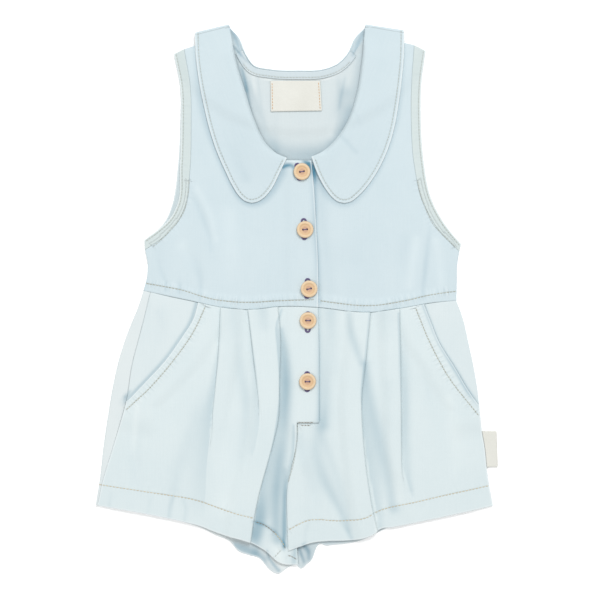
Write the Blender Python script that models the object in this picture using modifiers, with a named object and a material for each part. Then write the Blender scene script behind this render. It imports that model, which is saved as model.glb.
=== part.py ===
"""A child's short sleeveless jumpsuit in pale washed denim, lying flat with its front up.

The frame: X runs across the garment towards the wearer's left, Y runs from the hems to the neck,
and Z points up from the surface that the garment lies on. Right and left are the wearer's own, so
the right side has negative X. Sizes are millimetres until MM turns them into metres.

Every cloth piece is a wall of even thickness about a grid of points. The bodice pieces are grids
between four edges. The shorts are rows of cross sections from the waist seam to the hem, and a
knife pleat is a stretch of the section that turns back under itself.
"""

import math
from collections import namedtuple

import bmesh
import bpy
import numpy as np

MM = 0.001
SCREW_MERGE = 0.00001

# Cloth.
WALL = 1.2  # thickness of one layer of cloth
GAP = 0.3  # space between two pieces at a seam, and between two layers
LAYER = WALL + GAP  # height from one layer to the next
ON_FLOOR = WALL / 2  # middle of a wall that lies on the surface

# Air under the front panels, and the lengths over which a layer settles down again.
BODICE_AIR = 1.2
SHORTS_AIR = 1.4
SIDE_SETTLE = 26.0
PLEAT_SETTLE = 12.0
PLEAT_OPENS = 3.0  # a pleat that runs under by less than this begins to open
PLEAT_OPEN_REACH = 3.5  # half width of the soft step that an opened pleat leaves
SAME_PLACE = 0.003  # two points closer than this count as one

# Waist seam: its allowance is pressed up and stitched down, which raises the bodice's lower rim.
WAIST_GAP = 0.45
WAIST_RIM = 6.5
WAIST_RIM_RISE = 1.6

# The right front lies over the left one, from LAP_START to the placket's free edge.
LAP_EDGE = -2.0  # hidden edge of the left front
LAP_START = -4.0
LAP_RAMP = 10.0
PLACKET_FOOT = -111.2  # where the placket ends, above the crotch
PLACKET_FOOT_STEP = 0.002  # share of a leg's length over which the placket's tab ends
PLACKET_EDGE = (18.5, 19.5)  # its free edge below the waist seam: at the top, and lower down
PLACKET_EDGE_SETTLE = 0.2  # share of a leg's length over which the edge gets there
LAP_SETTLE = 0.08  # and over which a lap comes down again
CROTCH_POINT = -152.0  # where the two fronts part into legs
CROTCH_X = -5.6
LEG_LAP = 3.0  # from here on outwards, the left leg comes down from over the right one

# Collar.
COLLAR_WIDTH = 37.0
COLLAR_SPREAD = 80.0  # mean radius of its back edge, to turn a ratio into a distance
COLLAR_CENTRE = (1.5, 240.0)
COLLAR_BACK_REACH = (93.0, 74.0)  # half width and depth of its outer edge behind the neck
COLLAR_ROLL = 2.0  # width of the turned edge at the neck seam
COLLAR_CLEAR = 0.25  # extra space under it, which lets it pass over the panels' facets
COLLAR_CROWN = 1.5  # height of the soft rise beside the neck
CROWN_RISE = 4.0  # width over which it rises
CROWN_FALL = 26.0  # width over which it falls away towards the collar's outer edge
COLLAR_DROP = 2.0  # how far the turned edge comes down to the neck seam
COLLAR_ENDS = 1 / 6  # share of a stretch over which crown and drop fade out at its ends
COLLAR_LEVELS = 0.8  # share of a front half after which it comes level with its bend
NECK_SEAM_INSET = 3.2  # how far the front neck seam lies inside the collar's fold

NECK_TAPE = (1.2, 8.0)  # near and far edge of the tape, from the back neckline
NECK_TAPE_TOP = 224.0  # where both its ends disappear beneath the collar
NECK_LABEL_WALL = 1.0
NECK_LABEL = ((-24.5, 195.8), (20.5, 196.0), (22.0, 169.0), (-24.0, 168.3))

SIDE_LABEL_WALL = 1.0
SIDE_LABEL_FOLD = ((179.5, -119.5), (180.5, -151.8))  # ends of its outer, folded edge
SIDE_LABEL_ROWS = 5

BUTTON_RADIUS = 7.6
BUTTON_HEIGHT = 3.0
BUTTON_RIM = 1.9
BUTTON_DISH = 0.8
BUTTON_EDGE = 0.9
BUTTON_HOLE_RADIUS = 0.85
BUTTON_HOLE_SPACING = 3.6
BUTTON_STEPS = 28
BUTTON_HOLE_STEPS = 10

POCKET_UNDERLAP = 14.0  # how far the pocket's side piece runs on beneath the front
POCKET_CLEAR = 6.0  # how far beyond it the front stays up
POCKET_FOOT = 0.5  # where it ends, as a share of the way from the waist seam to the hem
POCKET_SETTLE = (0.56, 0.1)  # where the front begins to come down below it, and over how long

# Each material's red, green and blue, then its roughness.
DENIM = (0.50, 0.66, 0.74, 0.9)
DENIM_INSIDE = (0.56, 0.68, 0.73, 0.9)
LABEL_CLOTH = (0.86, 0.84, 0.78, 0.8)
WOOD = (0.62, 0.42, 0.24, 0.55)

# Each armhole from the shoulder to the side seam: the free edge of its band, the seam between band
# and panel, and how far the back piece shows beyond the front one.
Armhole = namedtuple("Armhole", "edge_x edge_y seam_x seam_y back_show")
ARMHOLE_RIGHT = [
    Armhole(-111.3, 220.0, -102.0, 224.4, 0.0),
    Armhole(-105.6, 190.0, -96.5, 190.0, 0.3),
    Armhole(-104.9, 157.0, -95.8, 155.0, 0.9),
    Armhole(-105.9, 120.0, -97.0, 114.0, 1.9),
    Armhole(-108.5, 84.0, -101.5, 81.5, 4.7),
    Armhole(-114.5, 72.5, -106.8, 70.5, 3.2),
    Armhole(-124.2, 63.2, -118.5, 56.8, 0.5),
    Armhole(-137.8, 53.0, -137.2, 43.8, 0.0),
]
ARMHOLE_LEFT = [
    Armhole(115.4, 222.8, 105.0, 228.0, 0.0),
    Armhole(111.9, 196.0, 102.8, 196.0, -0.5),
    Armhole(111.2, 160.0, 102.4, 160.0, -1.0),
    Armhole(113.6, 124.0, 104.8, 122.0, -1.0),
    Armhole(120.6, 89.5, 113.0, 86.5, -1.0),
    Armhole(132.8, 66.8, 127.2, 61.2, -0.5),
    Armhole(147.3, 49.0, 145.6, 42.3, 0.0),
]

# Edges, each a few points that a smooth curve runs through.
Point = namedtuple("Point", "x y")


def edge(*pairs):
    return [Point(*pair) for pair in pairs]


SIDE_RIGHT = edge((-137.2, 43.8), (-134.8, 30.0), (-135.4, 20.0), (-138.8, 7.0))
SIDE_LEFT = edge((145.6, 42.3), (143.8, 30.0), (143.5, 14.0), (143.0, -2.0))
SHOULDER_RIGHT = edge((-102.0, 224.4), (-63.5, 236.5))
SHOULDER_LEFT = edge((63.0, 237.0), (105.0, 228.0))
BACK_NECK_SEAM = edge(
    (-63.5, 236.5), (-55.0, 225.5), (-49.0, 215.5), (-41.0, 207.6), (-26.0, 204.0), (1.0, 202.8),
    (25.0, 204.3), (38.5, 208.8), (48.0, 217.5), (54.5, 226.5), (63.0, 237.0),
)
BACK_NECK_FOLD = edge(
    (-61.5, 246.4), (-53.3, 235.5), (-46.3, 219.5), (-39.0, 209.8), (-26.0, 206.7), (1.0, 205.4),
    (25.0, 207.0), (36.5, 211.9), (44.8, 220.5), (52.3, 235.5), (61.0, 246.4),
)
NECK_FOLD_RIGHT = edge(
    (-9.5, 126.5), (-18.5, 130.5), (-27.0, 138.0), (-38.5, 160.0), (-47.5, 187.5), (-55.5, 214.5),
    (-61.5, 246.4),
)
NECK_FOLD_LEFT = edge(
    (12.5, 127.5), (22.0, 132.0), (31.5, 140.0), (44.5, 158.5), (53.0, 183.0), (57.5, 210.0),
    (61.0, 246.4),
)
COLLAR_FRONT_RIGHT = edge(
    (-9.1, 126.3), (-15.3, 113.8), (-24.0, 97.4), (-30.4, 90.4), (-36.0, 87.1), (-41.3, 86.0),
)
COLLAR_FRONT_LEFT = edge(
    (12.2, 127.4), (17.4, 113.0), (26.3, 97.0), (31.5, 90.8), (36.6, 87.1), (42.2, 85.8),
)
COLLAR_OUTER_RIGHT = edge(
    (-41.3, 86.0), (-46.8, 87.6), (-51.8, 91.5), (-58.3, 101.1), (-65.0, 114.7), (-73.1, 133.4),
    (-79.8, 154.4), (-84.0, 172.1), (-88.0, 192.0), (-91.2, 215.4), (-92.5, 239.0),
)
COLLAR_OUTER_LEFT = edge(
    (42.2, 85.8), (48.2, 87.3), (54.6, 92.2), (61.0, 98.8), (70.2, 111.6), (79.8, 130.5),
    (86.8, 152.4), (90.3, 171.1), (93.2, 192.0), (95.5, 216.4), (96.0, 241.0),
)
NECK_CENTRE_RIGHT = Point(-12.0, 124.5)
NECK_CENTRE_LEFT = Point(14.0, 124.5)
PLACKET_BODICE = edge((12.5, 124.0), (15.0, 97.0), (17.0, 61.0), (18.5, 30.0), (18.5, -7.8))
WAIST = edge(
    (-138.8, 7.0), (-101.0, -1.0), (-61.0, -9.0), (-43.0, -10.0), (-11.0, -7.0), (18.5, -8.0),
    (63.5, -12.5), (92.0, -9.0), (124.0, -3.5), (143.0, -2.0),
)
FRONT_HEM_RIGHT = edge(
    (-182.0, -186.2), (-133.0, -194.8), (-101.0, -201.6), (-87.0, -205.2), (-74.0, -210.4),
    (-61.0, -214.6), (-52.0, -216.8), (-40.0, -221.0), (-28.0, -228.0), (-18.0, -237.0),
    (2.0, -240.0),
)
FRONT_HEM_LEFT = edge(
    (-9.0, -227.5), (2.5, -223.2), (13.0, -220.0), (27.0, -218.4), (42.0, -218.0), (57.0, -216.4),
    (69.5, -211.6), (74.0, -208.0), (86.0, -206.0), (110.0, -201.2), (143.0, -194.2),
    (176.0, -186.8),
)
BACK_HEM_RIGHT = edge(
    (-182.0, -186.2), (-133.0, -194.8), (-101.5, -202.0), (-87.0, -206.6), (-73.0, -213.6),
    (-60.0, -219.8), (-54.0, -227.0), (-44.0, -231.2), (-33.0, -235.2), (-26.0, -243.5),
    (-17.0, -248.0), (-9.0, -242.6), (-3.0, -240.0),
)
BACK_HEM_LEFT = edge(
    (-1.0, -239.5), (2.5, -243.2), (8.5, -239.4), (13.8, -233.5), (16.5, -225.6), (27.0, -222.8),
    (43.0, -221.0), (57.0, -218.2), (71.0, -211.4), (79.0, -207.6), (110.0, -201.4),
    (143.0, -194.4), (176.0, -187.0),
)
HIP_RIGHT = edge(
    (-138.8, 7.0), (-144.6, -10.0), (-150.2, -23.4), (-159.6, -50.0), (-166.0, -77.0),
    (-170.6, -104.0), (-174.6, -131.0), (-178.2, -163.0), (-182.0, -186.2),
)
HIP_LEFT = edge(
    (143.0, -2.0), (148.2, -16.0), (154.6, -43.0), (161.4, -78.0), (164.4, -104.0),
    (166.0, -119.5), (168.6, -134.5), (170.4, -152.0), (172.6, -168.0), (176.0, -186.8),
)
# The right side seam lies a little way round on the front.
SEAM_RIGHT = edge(
    (-132.5, 6.0), (-140.0, -25.0), (-149.0, -60.0), (-154.5, -94.0), (-160.5, -115.0),
    (-167.5, -138.0), (-176.5, -168.0), (-180.0, -185.0),
)
POCKET_RIGHT = edge(
    (-89.5, -4.0), (-93.5, -18.0), (-103.0, -33.5), (-119.0, -56.0), (-137.0, -75.5),
    (-154.5, -94.0),
)
POCKET_LEFT = edge(
    (114.0, -6.0), (119.5, -20.0), (126.5, -37.5), (142.0, -63.0), (155.5, -85.5), (164.6, -98.0),
)
CROTCH_SEAM = edge((-0.5, -111.7), (-0.5, -128.0), (-2.8, -141.5), (-5.6, -152.0))
INSEAM_RIGHT = edge((-5.6, -152.0), (-3.5, -170.0), (-2.0, -195.0), (0.5, -239.8))
INSEAM_LEFT = edge((-5.6, -152.0), (-9.4, -170.0), (-9.6, -200.0), (-8.6, -228.3))
BACK_INSEAM_RIGHT = edge(
    (3.0, -9.0), (3.0, -80.0), (3.0, -130.0), (2.0, -155.0), (-1.0, -195.0), (-3.6, -240.5)
)
BACK_INSEAM_LEFT = edge(
    (3.4, -9.0), (3.4, -80.0), (3.4, -130.0), (2.6, -155.0), (1.0, -195.0), (-0.5, -237.5)
)

# Knife pleats, a row for each height at which one is measured. down is the share of the way from
# the waist seam to the hem, edge_x the folded edge, under how far the cloth runs back beneath it,
# and lift the height of one of its layers over the next, in layers of cloth.
Fold = namedtuple("Fold", "down edge_x under lift")
Pleat = namedtuple("Pleat", "faces folds")
PLEATS_RIGHT = [
    Pleat(-1, [
        Fold(0.00, -68.0, 8.5, 1.0), Fold(0.20, -70.0, 8.0, 1.0), Fold(0.36, -73.0, 5.0, 0.8),
        Fold(0.55, -77.0, 1.5, 0.45), Fold(0.80, -81.5, 0.0, 0.1), Fold(1.00, -84.0, 0.0, 0.0),
    ]),
    Pleat(-1, [
        Fold(0.00, -43.5, 8.0, 1.0), Fold(0.20, -38.5, 6.0, 1.0), Fold(0.38, -34.8, 2.0, 0.9),
        Fold(0.52, -36.0, 0.0, 0.35), Fold(0.72, -44.0, 0.0, 0.1), Fold(1.00, -64.0, 0.0, 0.0),
    ]),
    Pleat(1, [
        Fold(0.00, -19.0, 6.0, 1.0), Fold(0.10, -16.8, 8.0, 1.0), Fold(0.30, -17.6, 10.0, 1.0),
        Fold(0.44, -18.5, 12.0, 1.0), Fold(0.55, -23.6, 13.0, 1.0), Fold(0.64, -28.4, 13.0, 1.0),
        Fold(0.77, -35.4, 13.0, 1.0), Fold(0.87, -39.6, 13.0, 1.0), Fold(1.00, -43.5, 13.0, 1.0),
    ]),
]
PLEATS_LEFT = [
    Pleat(1, [
        Fold(0.00, 64.5, 9.0, 1.0), Fold(0.20, 60.5, 9.0, 1.0), Fold(0.38, 56.5, 9.0, 1.0),
        Fold(0.60, 58.5, 9.0, 1.0), Fold(0.85, 65.0, 9.0, 1.0), Fold(1.00, 70.8, 9.0, 1.0),
    ]),
    Pleat(1, [
        Fold(0.00, 90.5, 8.5, 1.0), Fold(0.25, 91.5, 7.0, 1.0), Fold(0.50, 92.0, 4.5, 1.0),
        Fold(0.75, 94.0, 1.5, 0.8), Fold(0.90, 100.0, 0.0, 0.3), Fold(1.00, 106.0, 0.0, 0.0),
    ]),
]

# Points along each edge, rows down each piece, and steps around each turn.
ARMHOLE_POINTS = 13
SIDE_POINTS = 4
SHOULDER_POINTS = 4
BACK_NECK_POINTS = 13
FRONT_NECK_POINTS = 9
CENTRE_POINTS = 4  # from the neck seam to the placket's edge
COLLAR_FRONT_ROWS = 12
COLLAR_BACK_ROWS = 17
COLLAR_COLUMNS = 5
COLLAR_RIM_STEPS = 8  # along its outer edge behind the neck
FINE = 200  # along a curve that is only read from
TAPE_POINTS = 15
NECK_LABEL_GRID = (5, 6)  # rows, columns
LEG_ROWS_ABOVE = 9  # from the waist seam to the placket's foot
LEG_ROWS_BETWEEN = 4  # from there to the crotch
LEG_ROWS_BELOW = 7
LEG_COLUMNS_RIGHT = (5, 3, 3, 6)  # between its edges and pleats, from the pocket inwards
LEG_COLUMNS_LEFT = (7, 3, 5)  # the same from the middle outwards
BACK_LEG_ROWS = 14
BACK_LEG_COLUMNS = 13
BACK_LEG_CROWDING = 1.6  # over 1 brings its columns closer together towards the inseam
WRAP_COLUMNS = 3
POCKET_ROWS = 8
POCKET_COLUMNS = 6
FOLD_STEPS = 3  # points around each turn of a pleat
BEND_STEPS = 5  # points around the collar's bend over the shoulder

# Where the buttons sit on the placket.
BUTTONS = edge((4.0, 114.0), (6.8, 62.0), (10.4, 8.6), (9.5, -19.8), (9.0, -74.7))


def smooth_step(share):
    share = np.clip(share, 0.0, 1.0)
    return share * share * (3.0 - 2.0 * share)


def through(stations, values, where):
    """Cubic curve through values at rising stations, read at where and level past both ends."""
    stations, values = np.asarray(stations, float), np.asarray(values, float)
    slopes = np.gradient(values, stations)
    where = np.clip(where, stations[0], stations[-1])
    left = np.clip(np.searchsorted(stations, where, side="right") - 1, 0, len(stations) - 2)
    width = stations[left + 1] - stations[left]
    t = (where - stations[left]) / width
    return (
        (1 + 2 * t) * (1 - t) ** 2 * values[left]
        + t * (1 - t) ** 2 * width * slopes[left]
        + t * t * (3 - 2 * t) * values[left + 1]
        - t * t * (1 - t) * width * slopes[left + 1]
    )


def curve(points, count):
    """Evenly spaced points along a smooth curve through the given ones."""
    points = np.array([(point[0], point[1]) for point in points], float)
    run = np.concatenate([[0], np.cumsum(np.linalg.norm(np.diff(points, axis=0), axis=1))])
    fine = np.linspace(0, run[-1], 2 * FINE)
    path = np.column_stack([through(run, points[:, 0], fine), through(run, points[:, 1], fine)])
    length = np.concatenate([[0], np.cumsum(np.linalg.norm(np.diff(path, axis=0), axis=1))])
    even = np.linspace(0, length[-1], count)
    return np.column_stack([np.interp(even, length, path[:, 0]), np.interp(even, length, path[:, 1])])


def joined(*stretches):
    """One edge from several that meet end to end at corners."""
    return np.concatenate([stretches[0]] + [stretch[1:] for stretch in stretches[1:]])


def offset(points, distance):
    """The curve moved sideways, to the right of its direction where distance is positive."""
    along = np.gradient(points, axis=0)
    along /= np.linalg.norm(along, axis=1)[:, None]
    return points + distance * np.column_stack([along[:, 1], -along[:, 0]])


def patch(top, bottom, left, right, across=None):
    """Grid of points between four edges. top and bottom run across, left and right run down."""
    across = np.linspace(0, 1, len(top)) if across is None else across
    u = across[None, :, None]
    v = np.linspace(0, 1, len(left))[:, None, None]
    ruled = (1 - v) * top[None] + v * bottom[None] + (1 - u) * left[:, None] + u * right[:, None]
    ends = (1 - v) * ((1 - u) * top[0] + u * top[-1]) + v * ((1 - u) * bottom[0] + u * bottom[-1])
    return ruled - ends


def sheet(name, points, wall, material, collection):
    """A wall of even thickness about a grid of points: rows, columns, then x, y and z."""
    rows, columns = points.shape[:2]
    work = bmesh.new()
    bmesh.ops.create_grid(work, x_segments=columns - 1, y_segments=rows - 1, size=1.0)
    for vertex in work.verts:
        column = round((vertex.co.x + 1) / 2 * (columns - 1))
        row = round((vertex.co.y + 1) / 2 * (rows - 1))
        vertex.co = points[row, column] * MM
    mesh = bpy.data.meshes.new(name)
    work.to_mesh(mesh)
    work.free()
    mesh.shade_smooth()
    mesh.materials.append(material)
    made = bpy.data.objects.new(name, mesh)
    collection.objects.link(made)
    solidify = made.modifiers.new("Wall", "SOLIDIFY")
    solidify.thickness = wall * MM
    solidify.offset = 0.0
    return made


def flat_sheet(name, plan, height, material, collection, wall=WALL):
    """A sheet over a flat plan, at the height that the function gives for each point."""
    z = height(plan[..., 0], plan[..., 1])
    return sheet(name, np.dstack([plan, z]), wall, material, collection)


# Heights of the middle of each layer.


def waist_y(x):
    return through([p.x for p in WAIST], [p.y for p in WAIST], x)


def outline_x(points, y):
    """Where an edge that runs down the garment lies at height y."""
    falling = points[::-1]
    return np.interp(y, [p[1] for p in falling], [p[0] for p in falling])


def bodice_side(armhole, side, y):
    return outline_x([(row.edge_x, row.edge_y) for row in armhole] + list(side[1:]), y)


def side_air(x, low_x, high_x):
    """From 0 on the outline to 1 well inside it."""
    return smooth_step(np.minimum(x - low_x, high_x - x) / SIDE_SETTLE)


def back_bodice_z(x, y):
    """The back lies on the surface, and on the part of the collar that is turned under it."""
    reach = np.hypot(
        (x - COLLAR_CENTRE[0]) / COLLAR_BACK_REACH[0],
        (y - COLLAR_CENTRE[1]) / COLLAR_BACK_REACH[1],
    )
    beyond = (reach - 1) * COLLAR_SPREAD - PLEAT_SETTLE
    return ON_FLOOR + LAYER * (1 - smooth_step(beyond / PLEAT_SETTLE))


def lap(x):
    """Lift of the right front where it lies over the left one."""
    return LAYER * smooth_step((x - LAP_START + LAP_RAMP) / LAP_RAMP)


def left_bodice_z(x, y):
    low_x = bodice_side(ARMHOLE_RIGHT, SIDE_RIGHT, y)
    high_x = bodice_side(ARMHOLE_LEFT, SIDE_LEFT, y)
    rim = smooth_step((waist_y(x) + 2 * WAIST_RIM - y) / WAIST_RIM)
    air = BODICE_AIR * side_air(x, low_x, high_x)
    return back_bodice_z(x, y) + LAYER + air + WAIST_RIM_RISE * rim * side_air(x, low_x, high_x)


def right_bodice_z(x, y):
    return left_bodice_z(x, y) + lap(x)


def on_back_z(x, y):
    return back_bodice_z(x, y) + LAYER


# The shorts. down is 0 at the waist seam and 1 at the hem, and it takes the place of y.


def hem_y(hem, x):
    return through([p.x for p in hem], [p.y for p in hem], x)


def leg_y(hem, x, down):
    return (1 - down) * waist_y(x) + down * hem_y(hem, x)


def edge_at(points, hem, down):
    """The x at which a lengthwise edge of a leg crosses the given share of the way down."""
    fine = curve(points, FINE)
    top, foot = waist_y(fine[:, 0]), hem_y(hem, fine[:, 0])
    share = (top - fine[:, 1]) / (top - foot)
    return np.interp(down, share, fine[:, 0])


def fold_at(pleat, down):
    """Folded edge, underlap and lift of a pleat at the given share of the way down."""
    stations = [fold.down for fold in pleat.folds]
    edge_x = through(stations, [fold.edge_x for fold in pleat.folds], down)
    under = np.interp(down, stations, [fold.under for fold in pleat.folds])
    lift = np.interp(down, stations, [fold.lift for fold in pleat.folds]) * LAYER
    return edge_x, under, lift


def pleat_points(faces, edge_x, under, lift):
    """Section of a pleat from its lowest layer to its top one, for an edge that faces -X or +X.

    Where the cloth no longer runs back under the edge, the pleat has opened into a soft step.
    """
    folded = smooth_step(under / PLEAT_OPENS)
    turns = np.linspace(-90, 90, FOLD_STEPS + 2) * math.pi / 180
    lower = [(under + lift / 2 * math.cos(a), lift / 2 * (1 + math.sin(a))) for a in turns]
    upper = [(-lift / 2 * math.cos(a), lift / 2 * (3 + math.sin(a))) for a in turns]
    turned = np.array(lower + upper)
    rise = np.linspace(0, 1, len(turned))
    open_step = np.column_stack([PLEAT_OPEN_REACH * (2 * rise - 1), 2 * lift * smooth_step(rise)])
    section = folded * turned + (1 - folded) * open_step
    section = [(edge_x - faces * reach, z) for reach, z in section]
    return section if faces < 0 else section[::-1]


def settled(x, pleats, down):
    """Height of a top layer between pleats, which comes down again beside each of them."""
    height = np.zeros_like(x)
    for pleat in pleats:
        edge_x, under, lift = fold_at(pleat, down)
        inside = (edge_x - x) * pleat.faces
        rise = 2 * lift * (1 - smooth_step((inside - under - LAYER) / PLEAT_SETTLE))
        height = np.maximum(height, np.where(inside >= -SAME_PLACE, rise, 0.0))
    return height


def lifted(section, pleat, others, down):
    """Section of a pleat, raised where it has opened on the slope beside another pleat."""
    opened = 1 - smooth_step(fold_at(pleat, down)[1] / PLEAT_OPENS)
    x, z = np.array(section).T
    return list(zip(x, z + opened * np.maximum(settled(x, others, down) - z, 0)))


def leg_section(start_x, end_x, pleats, counts, down):
    """x and height across a front leg panel: stretches of cloth with the pleats between them."""
    x, z = [], []
    at = start_x
    for number, count in enumerate(counts):
        before = [p for p in pleats[:number] if p.faces < 0]
        after = [p for p in pleats[number:] if p.faces > 0]
        if number < len(pleats):
            pleat = pleats[number]
            others = before[-1:] + [p for p in pleats[number + 1:] if p.faces > 0][:1]
            section = lifted(pleat_points(pleat.faces, *fold_at(pleat, down)), pleat, others, down)
            stop = section[0][0]
        else:
            section, stop = [], end_x
        stretch = np.linspace(at, stop, count + 1)
        if number > 0:
            stretch = stretch[1:]
        if section:
            stretch = stretch[:-1]
        x += list(stretch) + [point[0] for point in section]
        near = before[-1:] + after[:1]
        z += list(settled(stretch, near, down)) + [point[1] for point in section]
        at = section[-1][0] if section else stop
    return np.array(x), np.array(z)


def leg_air(x, y):
    return SHORTS_AIR * side_air(x, outline_x(HIP_RIGHT, y), outline_x(HIP_LEFT, y))


def pocket_lift(distance, down):
    """Lift of a front where it lies over its pocket's side piece, by distance from the opening."""
    over = 1 - smooth_step((distance - POCKET_UNDERLAP - POCKET_CLEAR) / PLEAT_SETTLE)
    return LAYER * over * (1 - smooth_step((down - POCKET_SETTLE[0]) / POCKET_SETTLE[1]))


def share_down(x, y, hem):
    return (waist_y(x) - y) / (waist_y(x) - hem_y(hem, x))


# Shares of the way down at the placket's foot and at the crotch, on each leg.
PLACKET_DOWN_RIGHT = float(share_down(0.0, PLACKET_FOOT, FRONT_HEM_RIGHT))
PLACKET_DOWN_LEFT = float(share_down(0.0, PLACKET_FOOT, FRONT_HEM_LEFT))
CROTCH_DOWN_RIGHT = float(share_down(CROTCH_X, CROTCH_POINT, FRONT_HEM_RIGHT))
CROTCH_DOWN_LEFT = float(share_down(CROTCH_X, CROTCH_POINT, FRONT_HEM_LEFT))


def leg_rows(foot, crotch):
    """Shares of the way down a leg at which its rows of points lie."""
    above = np.linspace(0, foot, LEG_ROWS_ABOVE)
    between = np.linspace(foot + PLACKET_FOOT_STEP, crotch, LEG_ROWS_BETWEEN)
    below = np.linspace(crotch, 1, LEG_ROWS_BELOW)[1:]
    return np.concatenate([above, between, below])


def front_leg(start, end, hem, pleats, counts, downs, extra):
    """Grid of points of a front leg panel, with extra(x, down) as the height over the base."""
    rows = []
    for down in downs:
        x, z = leg_section(start(down), end(down), pleats, counts, down)
        y = leg_y(hem, x, down)
        z = z + ON_FLOOR + LAYER + leg_air(x, y) + extra(x, down)
        rows.append(np.column_stack([x, y, z]))
    return np.array(rows)


def right_front_leg():
    """The right front leg, with the placket's lower half as a tab at its upper corner."""

    def start(down):
        if down <= POCKET_FOOT:
            return edge_at(POCKET_RIGHT, FRONT_HEM_RIGHT, down)
        return edge_at(SEAM_RIGHT, FRONT_HEM_RIGHT, down) + GAP

    def end(down):
        if down <= PLACKET_DOWN_RIGHT:
            top, lower = PLACKET_EDGE
            return top + (lower - top) * smooth_step(down / PLACKET_EDGE_SETTLE)
        if down <= CROTCH_DOWN_RIGHT:
            return edge_at(CROTCH_SEAM, FRONT_HEM_RIGHT, down)
        return edge_at(INSEAM_RIGHT, FRONT_HEM_RIGHT, down)

    def extra(x, down):
        pocket = pocket_lift(x - edge_at(POCKET_RIGHT, FRONT_HEM_RIGHT, down), down)
        below_foot = (down - PLACKET_DOWN_RIGHT - 2 * PLACKET_FOOT_STEP) / LAP_SETTLE
        placket = lap(x) * (1 - smooth_step(below_foot))
        return np.maximum(pocket, placket)

    downs = leg_rows(PLACKET_DOWN_RIGHT, CROTCH_DOWN_RIGHT)
    return front_leg(
        start, end, FRONT_HEM_RIGHT, PLEATS_RIGHT, LEG_COLUMNS_RIGHT, downs, extra
    )


def left_front_leg():
    """The left front leg, whose hidden upper edge runs on beneath the placket."""

    def start(down):
        if down <= PLACKET_DOWN_LEFT:
            return LAP_EDGE
        if down <= CROTCH_DOWN_LEFT:
            return edge_at(CROTCH_SEAM, FRONT_HEM_LEFT, down) + GAP
        return edge_at(INSEAM_LEFT, FRONT_HEM_LEFT, down) + GAP

    def end(down):
        if down <= POCKET_FOOT:
            return edge_at(POCKET_LEFT, FRONT_HEM_LEFT, down)
        return edge_at(HIP_LEFT, FRONT_HEM_LEFT, down)

    def extra(x, down):
        pocket = pocket_lift(edge_at(POCKET_LEFT, FRONT_HEM_LEFT, down) - x, down)
        over_right = smooth_step((down - CROTCH_DOWN_LEFT + LAP_SETTLE) / LAP_SETTLE)
        inner = LAYER * over_right * (1 - smooth_step((x - LEG_LAP) / LAP_RAMP))
        return np.maximum(pocket, inner)

    downs = leg_rows(PLACKET_DOWN_LEFT, CROTCH_DOWN_LEFT)
    return front_leg(start, end, FRONT_HEM_LEFT, PLEATS_LEFT, LEG_COLUMNS_LEFT, downs, extra)


def crowded(start, end, count):
    """Values from start to end, closer together towards the end."""
    return end + (start - end) * (1 - np.linspace(0, 1, count)) ** BACK_LEG_CROWDING


def right_back_leg():
    """The right back leg turns over the hip, so that its side seam lies on the front."""
    rows = []
    turn = np.linspace(90, 270, FOLD_STEPS + 2) * math.pi / 180
    for down in np.linspace(0, 1, BACK_LEG_ROWS):
        hip = edge_at(HIP_RIGHT, BACK_HEM_RIGHT, down) + LAYER / 2 + WALL / 2
        seam = edge_at(SEAM_RIGHT, BACK_HEM_RIGHT, down)
        inner = edge_at(BACK_INSEAM_RIGHT, BACK_HEM_RIGHT, down)
        seam = max(seam, hip + GAP)
        wrapped = np.linspace(seam, hip, WRAP_COLUMNS)[:-1]
        under = crowded(hip, inner, BACK_LEG_COLUMNS)[1:]
        x = np.concatenate([wrapped, hip + LAYER / 2 * np.cos(turn), under])
        z = np.concatenate([
            np.full(len(wrapped), LAYER), LAYER / 2 * (1 + np.sin(turn)), np.zeros(len(under)),
        ])
        rows.append(np.column_stack([x, leg_y(BACK_HEM_RIGHT, x, down), z + ON_FLOOR]))
    return np.array(rows)


def left_back_leg():
    rows = []
    for down in np.linspace(0, 1, BACK_LEG_ROWS):
        inner = edge_at(BACK_INSEAM_LEFT, BACK_HEM_LEFT, down)
        hip = edge_at(HIP_LEFT, BACK_HEM_LEFT, down)
        x = crowded(hip, inner, BACK_LEG_COLUMNS)[::-1]
        rows.append(np.column_stack([x, leg_y(BACK_HEM_LEFT, x, down), np.full(len(x), ON_FLOOR)]))
    return np.array(rows)


def pocket_side(opening, side, hem, inward):
    """Side piece of a pocket, from the side seam to a little way beneath the front panel."""
    rows = []
    for down in np.linspace(0, POCKET_FOOT, POCKET_ROWS):
        inner = edge_at(opening, hem, down) + inward * POCKET_UNDERLAP
        outer = edge_at(side, hem, down)
        x = np.linspace(outer + inward * GAP, inner, POCKET_COLUMNS)
        y = leg_y(hem, x, down)
        rows.append(np.column_stack([x, y, ON_FLOOR + LAYER + leg_air(x, y)]))
    return np.array(rows)


# The bodice.


def armhole_edge(armhole, show, outward):
    """Free edge of an armhole, with the back piece's extra width where show is 1."""
    points = [(row.edge_x - outward * show * row.back_show, row.edge_y) for row in armhole]
    return curve(points, ARMHOLE_POINTS)


def armhole_seam(armhole):
    return curve([(row.seam_x, row.seam_y) for row in armhole], ARMHOLE_POINTS)


def waist_stretch(low_x, high_x, count):
    x = np.linspace(low_x, high_x, count)
    return np.column_stack([x, waist_y(x) + WAIST_GAP])


def armhole_band(armhole, show, outward):
    """Band along an armhole: its free edge, then its seam with the panel."""
    seam = offset(armhole_seam(armhole), outward * GAP)
    free = armhole_edge(armhole, show, outward)
    return np.stack([free, (free + seam) / 2, seam], axis=1)


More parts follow.
